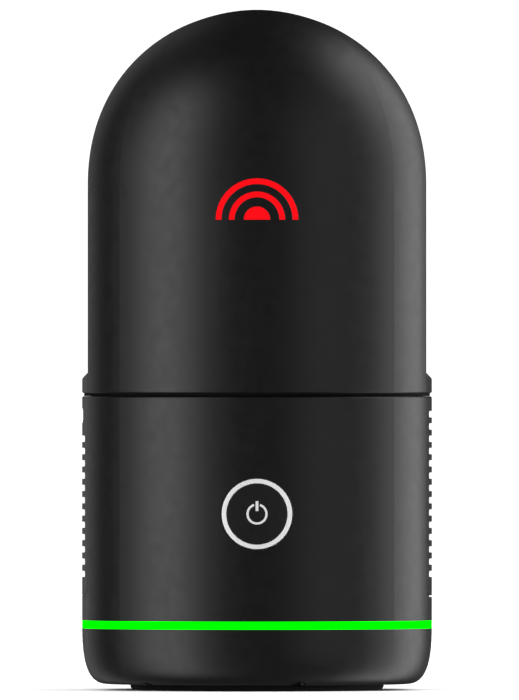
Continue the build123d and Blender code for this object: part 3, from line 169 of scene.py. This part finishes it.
def metal(name, colour, roughness, grain=(0.08 * MM, 0.08 * MM, 1.2 * MM), depth=0.003 * MM):
    """Machined metal with fine directional marks and slight tarnish."""
    material, nodes = new_material(name)
    place = nodes.add("ShaderNodeTexCoord").outputs["Object"]
    stretch = nodes.add("ShaderNodeMapping", {"Vector": place, "Scale": [1.0 / g for g in grain]}).outputs[0]
    marks = nodes.add("ShaderNodeTexNoise", {"Vector": stretch, "Scale": 1.0, "Detail": 2.0}).outputs["Fac"]
    tarnish = nodes.noise(place, size=5 * MM, detail=3.0)
    edges, rounded = soft_edges(nodes, radius=0.15 * MM)
    shade = nodes.blend(tarnish, rgb(*[c * 0.86 for c in colour]), rgb(*colour))
    shade = nodes.blend(nodes.math("MULTIPLY", edges, 0.5), shade, rgb(*[min(1.0, c * 1.15) for c in colour]))
    gloss = nodes.ranged(marks, 0.3, 0.7, roughness - 0.05, roughness + 0.08)
    bump = relief(nodes, marks, distance=depth, normal=rounded)
    finish_surface(nodes, base_color=shade, metallic=1.0, roughness=gloss, normal=bump)
    return material


def ring_metal(centre):
    """Bright turned ring: marks that run round the button's axis."""
    material, nodes = new_material("ring_metal")
    place = nodes.add("ShaderNodeTexCoord").outputs["Object"]
    offset = nodes.add("ShaderNodeVectorMath", {0: place, 1: tuple(centre)}, operation="SUBTRACT").outputs[0]
    flat = nodes.add("ShaderNodeVectorMath", {0: offset, 1: (1, 0, 1)}, operation="MULTIPLY").outputs[0]
    radius = nodes.add("ShaderNodeVectorMath", {0: flat}, operation="LENGTH").outputs["Value"]
    turning_pitch = 0.05 * MM
    along = nodes.math("MULTIPLY", radius, 1.0 / turning_pitch)
    marks = nodes.add("ShaderNodeTexNoise", {"W": along}, noise_dimensions="1D").outputs["Fac"]
    cloud = nodes.noise(place, size=3 * MM, detail=2.0)
    edges, rounded = soft_edges(nodes, radius=0.3 * MM)
    shade = nodes.blend(cloud, rgb(0.76, 0.76, 0.77), rgb(0.84, 0.84, 0.85))
    shade = nodes.blend(nodes.math("MULTIPLY", edges, 0.3), shade, rgb(0.92, 0.92, 0.93))
    gloss = nodes.ranged(marks, 0.3, 0.7, 0.3, 0.42)
    bump = relief(nodes, marks, distance=0.002 * MM, normal=rounded)
    finish_surface(nodes, base_color=shade, metallic=0.5, roughness=gloss, normal=bump)
    return material


def ink(name, colour, roughness=0.4, specular=0.5):
    """Printed or inlaid colour with a slightly uneven film."""
    material, nodes = new_material(name)
    place = nodes.add("ShaderNodeTexCoord").outputs["Object"]
    film = nodes.noise(place, size=1.5 * MM, detail=3.0)
    fine = nodes.noise(place, size=0.25 * MM, detail=2.0)
    shade = nodes.blend(film, rgb(*[c * 0.92 for c in colour]), rgb(*colour))
    gloss = nodes.ranged(fine, 0.3, 0.7, roughness - 0.04, roughness + 0.06)
    bump = relief(nodes, fine, distance=0.004 * MM)
    finish_surface(nodes, base_color=shade, roughness=gloss, normal=bump, specular_ior_level=specular)
    return material


def glow(name, colour, tint, strength):
    """Lit plastic: milky body with an even light inside that varies a little along it."""
    material, nodes = new_material(name)
    place = nodes.add("ShaderNodeTexCoord").outputs["Object"]
    milky = nodes.noise(place, size=6 * MM, detail=2.0)
    fine = nodes.noise(place, size=0.3 * MM, detail=2.0)
    shade = nodes.blend(milky, rgb(*[c * 0.9 for c in colour]), rgb(*colour))
    level = nodes.ranged(milky, 0.3, 0.7, strength * 0.95, strength * 1.05)
    finish_surface(
        nodes,
        base_color=shade,
        roughness=0.35,
        normal=relief(nodes, fine, distance=0.004 * MM),
        specular_ior_level=0.0,
        emission_color=rgb(*tint),
        emission_strength=level,
    )
    return material


def rubber(name, colour):
    """Soft foot rubber: dull, with moulded rings and a dusty film."""
    material, nodes = new_material(name)
    place = nodes.add("ShaderNodeTexCoord").outputs["Object"]
    flat = nodes.add("ShaderNodeVectorMath", {0: place, 1: (1, 1, 0)}, operation="MULTIPLY").outputs[0]
    radius = nodes.add("ShaderNodeVectorMath", {0: flat}, operation="LENGTH").outputs["Value"]
    ring_pitch = 1.6 * MM
    rings = nodes.math("SINE", nodes.math("MULTIPLY", radius, 2 * math.pi / ring_pitch))
    dust = nodes.noise(place, size=4 * MM, detail=4.0)
    fine = nodes.noise(place, size=0.4 * MM, detail=2.0)
    shade = nodes.blend(dust, rgb(*colour), rgb(*[c * 1.9 for c in colour]))
    height = nodes.math("ADD", rings, nodes.math("MULTIPLY", fine, 0.4))
    bump = relief(nodes, height, distance=0.05 * MM)
    finish_surface(nodes, base_color=shade, roughness=0.82, normal=bump, specular_ior_level=0.08)
    return material


def board(name):
    """Circuit board: green mask over a copper pattern, with tinned pads."""
    material, nodes = new_material(name)
    place = nodes.add("ShaderNodeTexCoord").outputs["Object"]
    block = 2.2 * MM  # width of a block of parallel traces
    trace_pitch = 0.11  # as a part of the block
    cells = {"Vector": place, "Scale": 1.0 / block}
    steps = nodes.add("ShaderNodeTexVoronoi", cells, distance="CHEBYCHEV", feature="F1").outputs["Distance"]
    lines = nodes.math("PINGPONG", steps, trace_pitch)
    traces = nodes.ranged(lines, 0.045, 0.06, 0.0, 1.0)
    pads = nodes.ranged(nodes.cells(place, size=1.5 * MM), 0.16, 0.13, 0.0, 1.0)
    patch = nodes.noise(place, size=9 * MM, detail=2.0)
    mask = nodes.blend(traces, rgb(0.004, 0.05, 0.02), rgb(0.008, 0.11, 0.04))
    mask = nodes.blend(nodes.ranged(patch, 0.3, 0.7, 0.0, 0.4), mask, rgb(0.002, 0.03, 0.012))
    shade = nodes.blend(pads, mask, rgb(0.62, 0.6, 0.55))
    gloss = nodes.ranged(pads, 0.0, 1.0, 0.38, 0.25)
    bump = relief(nodes, traces, distance=0.03 * MM)
    finish_surface(nodes, base_color=shade, roughness=gloss, metallic=pads, normal=bump)
    return material


def glass(name, colour, coating, opacity=1.0):
    """Dark optical glass, smoked or clear by its opacity, with a coating that tints its reflections."""
    material, nodes = new_material(name)
    place = nodes.add("ShaderNodeTexCoord").outputs["Object"]
    smear = nodes.noise(place, size=5 * MM, detail=3.0)
    tint = nodes.blend(smear, rgb(*[c * 0.8 for c in colour]), rgb(*colour))
    gloss = nodes.ranged(smear, 0.35, 0.7, 0.02, 0.06)
    _, rounded = soft_edges(nodes, radius=0.1 * MM)
    finish_surface(
        nodes,
        base_color=tint,
        roughness=gloss,
        normal=rounded,
        ior=1.7,
        specular_tint=rgb(*coating),
        alpha=opacity,
    )
    return material


def mirror_face(name):
    """Front-coated mirror with the faintest dust."""
    material, nodes = new_material(name)
    place = nodes.add("ShaderNodeTexCoord").outputs["Object"]
    dust = nodes.noise(place, size=3 * MM, detail=5.0, roughness=0.7)
    edges, rounded = soft_edges(nodes, radius=0.25 * MM)
    shade = nodes.blend(dust, rgb(0.86, 0.87, 0.88), rgb(0.93, 0.93, 0.92))
    shade = nodes.blend(edges, shade, rgb(0.5, 0.55, 0.55))
    gloss = nodes.ranged(dust, 0.4, 0.8, 0.01, 0.06)
    finish_surface(nodes, base_color=shade, metallic=1.0, roughness=gloss, normal=rounded)
    return material


button_low, button_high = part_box("button_ring")
button_centre = (button_low + button_high) / 2

BODY = (0.0019, 0.0019, 0.0021)
MATERIALS = {
    "body_black": moulded("body_black", BODY, 0.42),
    "dark_plastic": moulded("dark_plastic", (0.012, 0.012, 0.013), 0.55, grain=0.5 * MM),
    "foot_rubber": rubber("foot_rubber", (0.0018, 0.0018, 0.0019)),
    "ring_metal": ring_metal(button_centre),
    "button_black": moulded("button_black", (0.006, 0.006, 0.0065), 0.3, depth=0.003 * MM),
    "icon_grey": ink("icon_grey", (0.45, 0.45, 0.45)),
    "badge_red": ink("badge_red", (0.62, 0.0, 0.003), 0.4, 0.05),
    "line_green": glow("line_green", (0.0, 0.35, 0.0), (0.0, 1.0, 0.0), 1.2),
    "lamp_white": glow("lamp_white", (0.8, 0.75, 0.3), (0.1, 1.0, 0.15), 1.0),
    "board_green": board("board_green"),
    "steel": metal("steel", (0.5, 0.5, 0.52), 0.3),
    "alloy": metal("alloy", (0.62, 0.62, 0.64), 0.42),
    "contact_brass": metal("contact_brass", (0.75, 0.55, 0.22), 0.28),
    "clear_glass": glass("clear_glass", (0.006, 0.006, 0.008), (0.9, 0.85, 1.0), 0.5),
    "lens_glass": glass("lens_glass", (0.012, 0.008, 0.03), (0.65, 0.6, 1.0)),
    "mirror_face": mirror_face("mirror_face"),
    "battery_grey": moulded("battery_grey", (0.045, 0.047, 0.05), 0.5, grain=0.6 * MM),
}


# ================================================================ CAD nodes
def finish_cad_nodes():
    """Give each CAD node its slot's finish, and the deck, of which only the seam shows, a duller, darker
    black than the body: painted shade in the seam.
    """
    # painted shade: the deck's lip is darker and less glossy than the body, so the seam under the head reads
    # as shaded
    painted_seam_shade = moulded("painted_seam_shade", (0.001, 0.001, 0.001), 0.7, specular=0.06)
    for name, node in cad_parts.items():
        slot = node.material_slots[0].material.name.split(".")[0]
        for material_slot in node.material_slots:
            material_slot.link = "OBJECT"
            material_slot.material = painted_seam_shade if name == "top_deck" else MATERIALS[slot]


finish_cad_nodes()


# ================================================================ mesh helpers
WELD = 0.001 * MM  # corners nearer than this are one corner
SHARP = math.radians(35)  # a steeper edge is shaded sharp
BEVELLED = math.radians(40)  # a steeper edge is bevelled


def finish_piece(name, body, slot, shape, bevel=0.05 * MM):
    """Turn a bmesh into a piece with soft edges that rides on a CAD body and has a slot's finish."""
    bmesh.ops.recalc_face_normals(shape, faces=shape.faces)
    mesh = bpy.data.meshes.new(name)
    shape.to_mesh(mesh)
    shape.free()
    mesh.shade_smooth()
    mesh.set_sharp_from_angle(angle=SHARP)
    mesh.materials.append(MATERIALS[slot])
    piece = bpy.data.objects.new(name, mesh)
    bpy.context.scene.collection.objects.link(piece)
    if bevel:
        edges = piece.modifiers.new("edges", "BEVEL")
        edges.width = bevel
        edges.segments = 2
        edges.limit_method = "ANGLE"
        edges.angle_limit = BEVELLED
    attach(piece, body)
    return piece


def add_block(shape, low, high):
    """Add a box with the given lowest and highest corners."""
    corners = [(x, y, z) for x in (low[0], high[0]) for y in (low[1], high[1]) for z in (low[2], high[2])]
    made = [shape.verts.new(corner) for corner in corners]
    for face in ((0, 1, 3, 2), (4, 6, 7, 5), (0, 4, 5, 1), (2, 3, 7, 6), (0, 2, 6, 4), (1, 5, 7, 3)):
        shape.faces.new([made[i] for i in face])


def add_turned(shape, origin, axis, profile, turns=48):
    """Add a closed profile of (radius, distance along the axis) turned about an axis through a point."""
    place = Matrix.Translation(origin) @ axis.to_track_quat("Z", "Y").to_matrix().to_4x4()
    loops = []
    for step in range(turns):
        angle = 2 * math.pi * step / turns
        across = Vector((math.cos(angle), math.sin(angle), 0))
        loops.append([shape.verts.new(place @ (across * r + Vector((0, 0, along)))) for r, along in profile])
    for step in range(turns):
        here, following = loops[step], loops[(step + 1) % turns]
        for i in range(len(profile)):
            j = (i + 1) % len(profile)
            shape.faces.new((here[i], following[i], following[j], here[j]))
    bmesh.ops.remove_doubles(shape, verts=shape.verts, dist=WELD / 10)


def discs_of(node):
    """The centre and outward axis of each flat disc in a CAD node."""
    shape = bmesh.new()
    shape.from_mesh(node.data)
    bmesh.ops.remove_doubles(shape, verts=shape.verts, dist=WELD)
    unseen = set(shape.faces)
    discs = []
    while unseen:
        group = {unseen.pop()}
        waiting = list(group)
        while waiting:
            for edge in waiting.pop().edges:
                new = [face for face in edge.link_faces if face in unseen]
                unseen.difference_update(new)
                group.update(new)
                waiting.extend(new)
        spots = sorted({vertex.co.to_tuple(6) for face in group for vertex in face.verts})
        centre = sum((Vector(spot) for spot in spots), Vector()) / len(spots)
        outside = Vector((centre.x, centre.y, 0))
        areas = {}
        for face in group:
            if face.normal.dot(outside) > 0:
                key = tuple(round(value, 2) for value in face.normal)
                areas[key] = areas.get(key, 0) + face.calc_area()
        discs.append((centre, Vector(max(areas, key=areas.get)).normalized()))
    shape.free()
    return sorted(discs, key=lambda disc: (round(disc[0].z, 3), disc[0].x))


# ================================================================ camera details
GLASS_HALF = 0.5 * MM  # half the thickness of a camera window
GLASS_RADIUS = 3.4 * MM
RIM_WIDTH = 1.0 * MM
RIM_HEIGHT = 0.3 * MM  # at its outer edge
RIM_CREST_HEIGHT = 0.38 * MM
RIM_CREST_INSET = 0.2 * MM
WELL_RADIUS = 2.05 * MM  # recess in the camera behind its window
WELL_DEPTH = 0.95 * MM
WELL_GAP = 0.08 * MM  # clear space between the window and what stands in the well
IRIS_DEPTH = 0.8 * WELL_DEPTH
IRIS_WIDTH = 0.55 * MM
IRIS_STEPS = 3
LENS_RADIUS = 1.45 * MM
LENS_EDGE = 0.1 * MM
LENS_BULGE = 0.55 * MM
LENS_ARC_STEPS = 8


def rim_profile():
    """The raised rim on a window's outer face, sloping in to the glass."""
    return [
        (GLASS_RADIUS, GLASS_HALF),
        (GLASS_RADIUS, GLASS_HALF + RIM_HEIGHT),
        (GLASS_RADIUS - RIM_CREST_INSET, GLASS_HALF + RIM_CREST_HEIGHT),
        (GLASS_RADIUS - RIM_WIDTH, GLASS_HALF),
    ]


def iris_profile(front):
    """A stepped ring that fills the side of the well and narrows away from the window."""
    profile = [(WELL_RADIUS, front), (WELL_RADIUS, front - IRIS_DEPTH)]
    for step in range(IRIS_STEPS, 0, -1):
        inner = WELL_RADIUS - IRIS_WIDTH * step / IRIS_STEPS
        profile.append((inner, front - IRIS_DEPTH * step / IRIS_STEPS))
        profile.append((inner, front - IRIS_DEPTH * (step - 1) / IRIS_STEPS))
    return profile


def lens_profile(back):
    """A domed lens that stands on the bottom of the well."""
    profile = [(0.0, back), (LENS_RADIUS, back)]
    for step in range(1, LENS_ARC_STEPS + 1):
        turn = math.pi / 2 * step / LENS_ARC_STEPS
        profile.append((LENS_RADIUS * math.cos(turn), back + LENS_EDGE + LENS_BULGE * math.sin(turn)))
    return profile


def make_camera_details():
    """A black rim on each window, and an iris ring and domed front lens in the well behind it."""
    front = -GLASS_HALF - WELL_GAP
    kinds = (
        ("camera_rim", rim_profile(), "button_black", 0.05 * MM),
        ("camera_iris", iris_profile(front), "dark_plastic", 0.02 * MM),
        ("camera_lens", lens_profile(front - WELL_DEPTH), "lens_glass", 0),
    )
    for number, (centre, axis) in enumerate(discs_of(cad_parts["camera_windows"]), start=1):
        for kind, profile, slot, bevel in kinds:
            shape = bmesh.new()
            add_turned(shape, centre, axis, profile)
            finish_piece("%s_%d" % (kind, number), "turret", slot, shape, bevel)


make_camera_details()


# ================================================================ saddle gasket
GASKET_NARROWING = 0.985  # its width over the saddle's
GASKET_CLEARANCE = 0.01 * MM  # from the wings' inner plates
GASKET_DROP = 0.35 * MM  # below the saddle's surface
GASKET_FOOT = 74 * MM  # height of its flat underside


def make_saddle_gasket():
    """Black seal that fills the joint between the saddle and the inner plates of the two wings."""
    _, saddle_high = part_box("saddle")
    cheek_low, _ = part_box("rear_cheek")
    widen = (cheek_low.y - GASKET_CLEARANCE) / saddle_high.y
    shape = bmesh.new()
    shape.from_mesh(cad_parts["saddle"].data)
    bmesh.ops.remove_doubles(shape, verts=shape.verts, dist=WELD)
    for vertex in shape.verts:
        place = vertex.co
        vertex.co = Vector((place.x * GASKET_NARROWING, place.y * widen, place.z - GASKET_DROP))
    bmesh.ops.bisect_plane(
        shape,
        geom=shape.verts[:] + shape.edges[:] + shape.faces[:],
        plane_co=(0, 0, GASKET_FOOT),
        plane_no=(0, 0, 1),
        clear_inner=True,
    )
    bmesh.ops.holes_fill(shape, edges=[edge for edge in shape.edges if edge.is_boundary])
    finish_piece("saddle_gasket", "turret", "foot_rubber", shape, 0)


make_saddle_gasket()


# ================================================================ seam felt
FELT_BITE = 0.005 * MM  # how far the felt's pile reaches into the head's underside
TOP_FACE_DEPTH = 0.01 * MM  # a face within this of the deck's highest point is on its lip


def make_seam_felt():
    """Felt on the deck's lip that closes the joint under the turning head."""
    head_low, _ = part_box("front_shell")
    _, deck_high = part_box("top_deck")
    shape = bmesh.new()
    shape.from_mesh(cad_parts["top_deck"].data)
    bmesh.ops.remove_doubles(shape, verts=shape.verts, dist=WELD)
    level = deck_high.z - TOP_FACE_DEPTH
    below = [face for face in shape.faces if min(vertex.co.z for vertex in face.verts) < level]
    bmesh.ops.delete(shape, geom=below, context="FACES")
    raised = bmesh.ops.extrude_face_region(shape, geom=shape.faces[:], use_keep_orig=True)["geom"]
    top = [item for item in raised if isinstance(item, bmesh.types.BMVert)]
    bmesh.ops.translate(shape, verts=top, vec=(0, 0, head_low.z + FELT_BITE - deck_high.z))
    finish_piece("seam_felt", "base", "foot_rubber", shape, 0)


make_seam_felt()


# ================================================================ screens behind the vents
SCREEN_HALF_WIDTH = 8.6 * MM
SCREEN_THICKNESS = 0.24 * MM
SCREEN_FOOT = 3 * MM  # above the lower edge of the door or panel
DOOR_SCREEN_GAP = 0.03 * MM  # between the door's back and its screen
DOOR_SCREEN_TOP = 64.2 * MM
PANEL_DEPTH = 3.05 * MM  # from the panel's outer face to the screen's inner side
PANEL_SCREEN_TOP = 60 * MM


def make_screen(name, body, low, high, pitch=0.7 * MM, wire=0.11 * MM):
    """A dust screen of crossing wires in a plane of constant x."""
    shape = bmesh.new()
    middle = (low[0] + high[0]) / 2
    for index in range(int((high[1] - low[1]) / pitch) + 1):
        y = low[1] + index * pitch
        add_block(shape, (low[0], y - wire / 2, low[2]), (middle, y + wire / 2, high[2]))
    for index in range(int((high[2] - low[2]) / pitch) + 1):
        z = low[2] + index * pitch
        add_block(shape, (middle, low[1], z - wire / 2), (high[0], high[1], z + wire / 2))
    finish_piece(name, body, "dark_plastic", shape, 0)


def make_vent_screens():
    """A screen behind the vents on each side of the lower body."""
    door_low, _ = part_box("battery_door")
    outer = door_low.x - DOOR_SCREEN_GAP
    low = (outer - SCREEN_THICKNESS, -SCREEN_HALF_WIDTH, door_low.z + SCREEN_FOOT)
    make_screen("door_screen", "door", low, (outer, SCREEN_HALF_WIDTH, DOOR_SCREEN_TOP))
    panel_low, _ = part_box("vent_panel")
    inner = panel_low.x + PANEL_DEPTH
    low = (inner - SCREEN_THICKNESS, -SCREEN_HALF_WIDTH, panel_low.z + SCREEN_FOOT)
    make_screen("panel_screen", "base", low, (inner, SCREEN_HALF_WIDTH, PANEL_SCREEN_TOP))


make_vent_screens()


# ================================================================ battery and port details
RIBS = 7
RIB_PITCH = 1.3 * MM
RIB_HALF_LENGTH = 6 * MM
RIB_HALF_WIDTH = 0.3 * MM
RIB_HEIGHT = 0.22 * MM
RIB_ROOT = 0.1 * MM  # how deep a rib starts inside the battery
RIBS_BELOW_TOP = 9 * MM  # from the battery's top to the first rib

CONTACTS = 12
CONTACT_PITCH = 0.5 * MM
CONTACT_HALF_WIDTH = 0.14 * MM
CONTACT_START = 1.3 * MM  # from the port's outer end
CONTACT_END = 4.4 * MM
CONTACT_HEIGHT = 0.05 * MM
CONTACT_ROOT = 0.02 * MM
TONGUE_HALF = 0.35 * MM  # half the thickness of the port's tongue


def make_battery_ribs():
    """Finger ribs on the end of the battery that the open door uncovers."""
    _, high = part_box("battery")
    shape = bmesh.new()
    for index in range(RIBS):
        z = high.z - RIBS_BELOW_TOP - index * RIB_PITCH
        low_corner = (high.x - RIB_ROOT, -RIB_HALF_LENGTH, z - RIB_HALF_WIDTH)
        add_block(shape, low_corner, (high.x + RIB_HEIGHT, RIB_HALF_LENGTH, z + RIB_HALF_WIDTH))
    finish_piece("battery_ribs", "battery_pack", "battery_grey", shape, 0.12 * MM)


def make_port_contacts():
    """Gold contacts along both faces of the port's tongue."""
    low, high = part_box("port")
    middle = (low.z + high.z) / 2
    shape = bmesh.new()
    for index in range(CONTACTS):
        y = (index - (CONTACTS - 1) / 2) * CONTACT_PITCH
        for side in (-1, 1):
            face = middle + side * TONGUE_HALF
            bottom, top = sorted((face - side * CONTACT_ROOT, face + side * CONTACT_HEIGHT))
            add_block(
                shape,
                (low.x + CONTACT_START, y - CONTACT_HALF_WIDTH, bottom),
                (low.x + CONTACT_END, y + CONTACT_HALF_WIDTH, top),
            )
    finish_piece("port_contacts", "base", "contact_brass", shape, 0)


make_battery_ribs()
make_port_contacts()


# ================================================================ parts on the boards
CELL = 5.2 * MM  # one chip's share of a board
EMPTY_SHARE = 0.2
CHIP_HALF_WIDTHS = (0.8, 1.9)  # millimetres, from narrowest to widest
CHIP_HALF_HEIGHTS = (0.6, 1.9)
CHIP_THICKNESSES = (0.5, 1.3)
LEG_PITCH = 0.65 * MM
LEG_REACH = 0.45 * MM
LEG_HALF_WIDTH = 0.12 * MM
LEG_THICKNESS = 0.2 * MM
BOARD_MARGIN = 1.5 * MM


def populate_board(name, body, face, outward, low, high, seed):
    """Chips with legs on one face of an upright board, laid out on a grid with some cells left empty."""
    draw = random.Random(seed)
    chips = bmesh.new()
    legs = bmesh.new()
    columns = int((high[0] - low[0]) / CELL)
    rows = int((high[1] - low[1]) / CELL)
    for column in range(columns):
        for row in range(rows):
            if draw.random() < EMPTY_SHARE:
                continue
            x = low[0] + (column + 0.5) * CELL
            z = low[1] + (row + 0.5) * CELL
            half_wide = draw.uniform(*CHIP_HALF_WIDTHS) * MM
            half_tall = draw.uniform(*CHIP_HALF_HEIGHTS) * MM
            thick = draw.uniform(*CHIP_THICKNESSES) * MM
            near, far = sorted((face, face + outward * thick))
            add_block(chips, (x - half_wide, near, z - half_tall), (x + half_wide, far, z + half_tall))
            near, far = sorted((face, face + outward * LEG_THICKNESS))
            reach = half_wide + LEG_REACH
            pins = max(2, int(2 * half_tall / LEG_PITCH))
            for pin in range(pins):
                spot = z + ((pin + 0.5) / pins * 2 - 1) * half_tall
                low_corner = (x - reach, near, spot - LEG_HALF_WIDTH)
                add_block(legs, low_corner, (x + reach, far, spot + LEG_HALF_WIDTH))
    finish_piece(name + "_chips", body, "dark_plastic", chips, 0.08 * MM)
    finish_piece(name + "_legs", body, "steel", legs, 0)


def make_board_parts():
    """Soldered parts on the clear faces of the boards inside the body and the head."""
    main_low, main_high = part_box("main_board")
    sink_low, sink_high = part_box("heat_sink")
    foot = main_low.z + 3 * MM
    top = main_high.z - 2 * MM
    right = (sink_high.x + BOARD_MARGIN, foot), (main_high.x - BOARD_MARGIN, top)
    left = (main_low.x + BOARD_MARGIN, foot), (sink_low.x - BOARD_MARGIN, top)
    populate_board("main_board_right", "base", main_low.y, -1, *right, seed=11)
    populate_board("main_board_left", "base", main_low.y, -1, *left, seed=12)
    head_low, head_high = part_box("head_board")
    head_corner = (head_low.x + BOARD_MARGIN, head_low.z + BOARD_MARGIN)
    far_corner = (head_high.x - BOARD_MARGIN, head_high.z - BOARD_MARGIN)
    populate_board("head_board", "turret", head_high.y, 1, head_corner, far_corner, seed=13)
    # The lower part of the laser board mirrors the head board in the front wing.
    populate_board("laser_board", "turret", -head_high.y, -1, head_corner, far_corner, seed=14)


make_board_parts()


# ================================================================ stage, light and camera
FLOOR_RADIUS = 12
FLOOR_SIDES = 96
FLOOR_DROP = 0.02 * MM  # keeps the floor clear of the foot's underside
SURROUNDINGS = 1.15  # radiance of the white surroundings to the eye and as soft shade
SURROUNDINGS_REFLECTED = 0.02  # and in reflections
CAMERA_DISTANCE = 5.4
SEEN_HEIGHT = 160.1 * MM  # what the image's height covers at the object
CAMERA_SIDE = 0.57 * MM  # to the right of the object's axis
SENSOR = 36.0


def make_floor():
    """A pale round floor, hidden from reflections and casting no shadow, wide enough for every view."""
    material, nodes = new_material("floor_paper")
    place = nodes.add("ShaderNodeTexCoord").outputs["Object"]
    fibre = nodes.noise(place, size=1.5 * MM, detail=3.0)
    shade = nodes.blend(fibre, rgb(0.90, 0.90, 0.90), rgb(0.92, 0.92, 0.92))
    finish_surface(nodes, base_color=shade, roughness=0.9, specular_ior_level=0.0)
    angles = [2 * math.pi * side / FLOOR_SIDES for side in range(FLOOR_SIDES)]
    rim = [(FLOOR_RADIUS * math.cos(angle), FLOOR_RADIUS * math.sin(angle), 0) for angle in angles]
    mesh = bpy.data.meshes.new("floor")
    mesh.from_pydata(rim, [], [tuple(range(FLOOR_SIDES))])
    mesh.materials.append(material)
    floor = bpy.data.objects.new("floor", mesh)
    bpy.context.scene.collection.objects.link(floor)
    floor.location.z = -FLOOR_DROP
    floor.visible_glossy = False
    floor.visible_shadow = False


def make_world():
    """White surroundings for the eye and for soft shade, and a dim studio for reflections."""
    world = bpy.data.worlds.new("studio")
    bpy.context.scene.world = world
    world.use_nodes = True
    nodes = Nodes(world.node_tree)
    reflected = nodes.add("ShaderNodeLightPath").outputs["Is Glossy Ray"]
    strength = nodes.ranged(reflected, 0.0, 1.0, SURROUNDINGS, SURROUNDINGS_REFLECTED)
    background = nodes.add("ShaderNodeBackground", {"Color": rgb(1.0, 1.0, 1.0), "Strength": strength})
    nodes.add("ShaderNodeOutputWorld", {"Surface": background.outputs[0]})


def softbox(name, azimuth, distance, width, radiance, low=-0.8, high=1.9):
    """A tall soft light round the object; azimuth 0 is the camera's side and positive is to its right."""
    height = high - low
    turn = math.radians(azimuth)
    light = bpy.data.lights.new(name, "AREA")
    light.shape = "RECTANGLE"
    light.size = width
    light.size_y = height
    light.energy = radiance * math.pi * width * height
    lamp = bpy.data.objects.new(name, light)
    bpy.context.scene.collection.objects.link(lamp)
    lamp.location = (distance * math.sin(turn), -distance * math.cos(turn), (low + high) / 2)
    target = Vector((0, 0, lamp.location.z))
    lamp.rotation_euler = (target - lamp.location).to_track_quat("-Z", "Y").to_euler()
    lamp.visible_camera = False


def underlight(name, depth, size, radiance):
    """A wide dim panel under the floor, as the pale table would light the rounded underside."""
    light = bpy.data.lights.new(name, "AREA")
    light.shape = "SQUARE"
    light.size = size
    light.energy = radiance * math.pi * size * size
    lamp = bpy.data.objects.new(name, light)
    bpy.context.scene.collection.objects.link(lamp)
    lamp.location = (0, 0, -depth)
    lamp.rotation_euler = (math.pi, 0, 0)
    lamp.visible_camera = False


def make_camera():
    """A long level lens in front of the object."""
    data = bpy.data.cameras.new("camera")
    data.sensor_width = SENSOR
    data.lens = SENSOR * CAMERA_DISTANCE / SEEN_HEIGHT
    data.clip_start = 0.1
    data.clip_end = 100.0
    camera = bpy.data.objects.new("camera", data)
    bpy.context.scene.collection.objects.link(camera)
    camera.location = (CAMERA_SIDE, -CAMERA_DISTANCE, (cad_box[0].z + cad_box[1].z) / 2)
    camera.rotation_euler = (math.radians(90), 0, 0)
    bpy.context.scene.camera = camera


make_floor()
make_world()
softbox("key_left", -52, 1.6, 0.8, 3.1, low=-1.8)
softbox("fill_right", 35, 2.2, 0.9, 0.72)
softbox("rim_right", 104, 1.6, 1.5, 2.85, low=-2.6, high=2.8)
softbox("rim_left", -140, 1.6, 1.2, 0.45, low=-1.8, high=2.6)
underlight("glow_from_below", 0.9, 3.0, 0.06)
make_camera()
bpy.context.scene.view_settings.view_transform = "Standard"
bpy.context.scene.view_settings.look = "None"
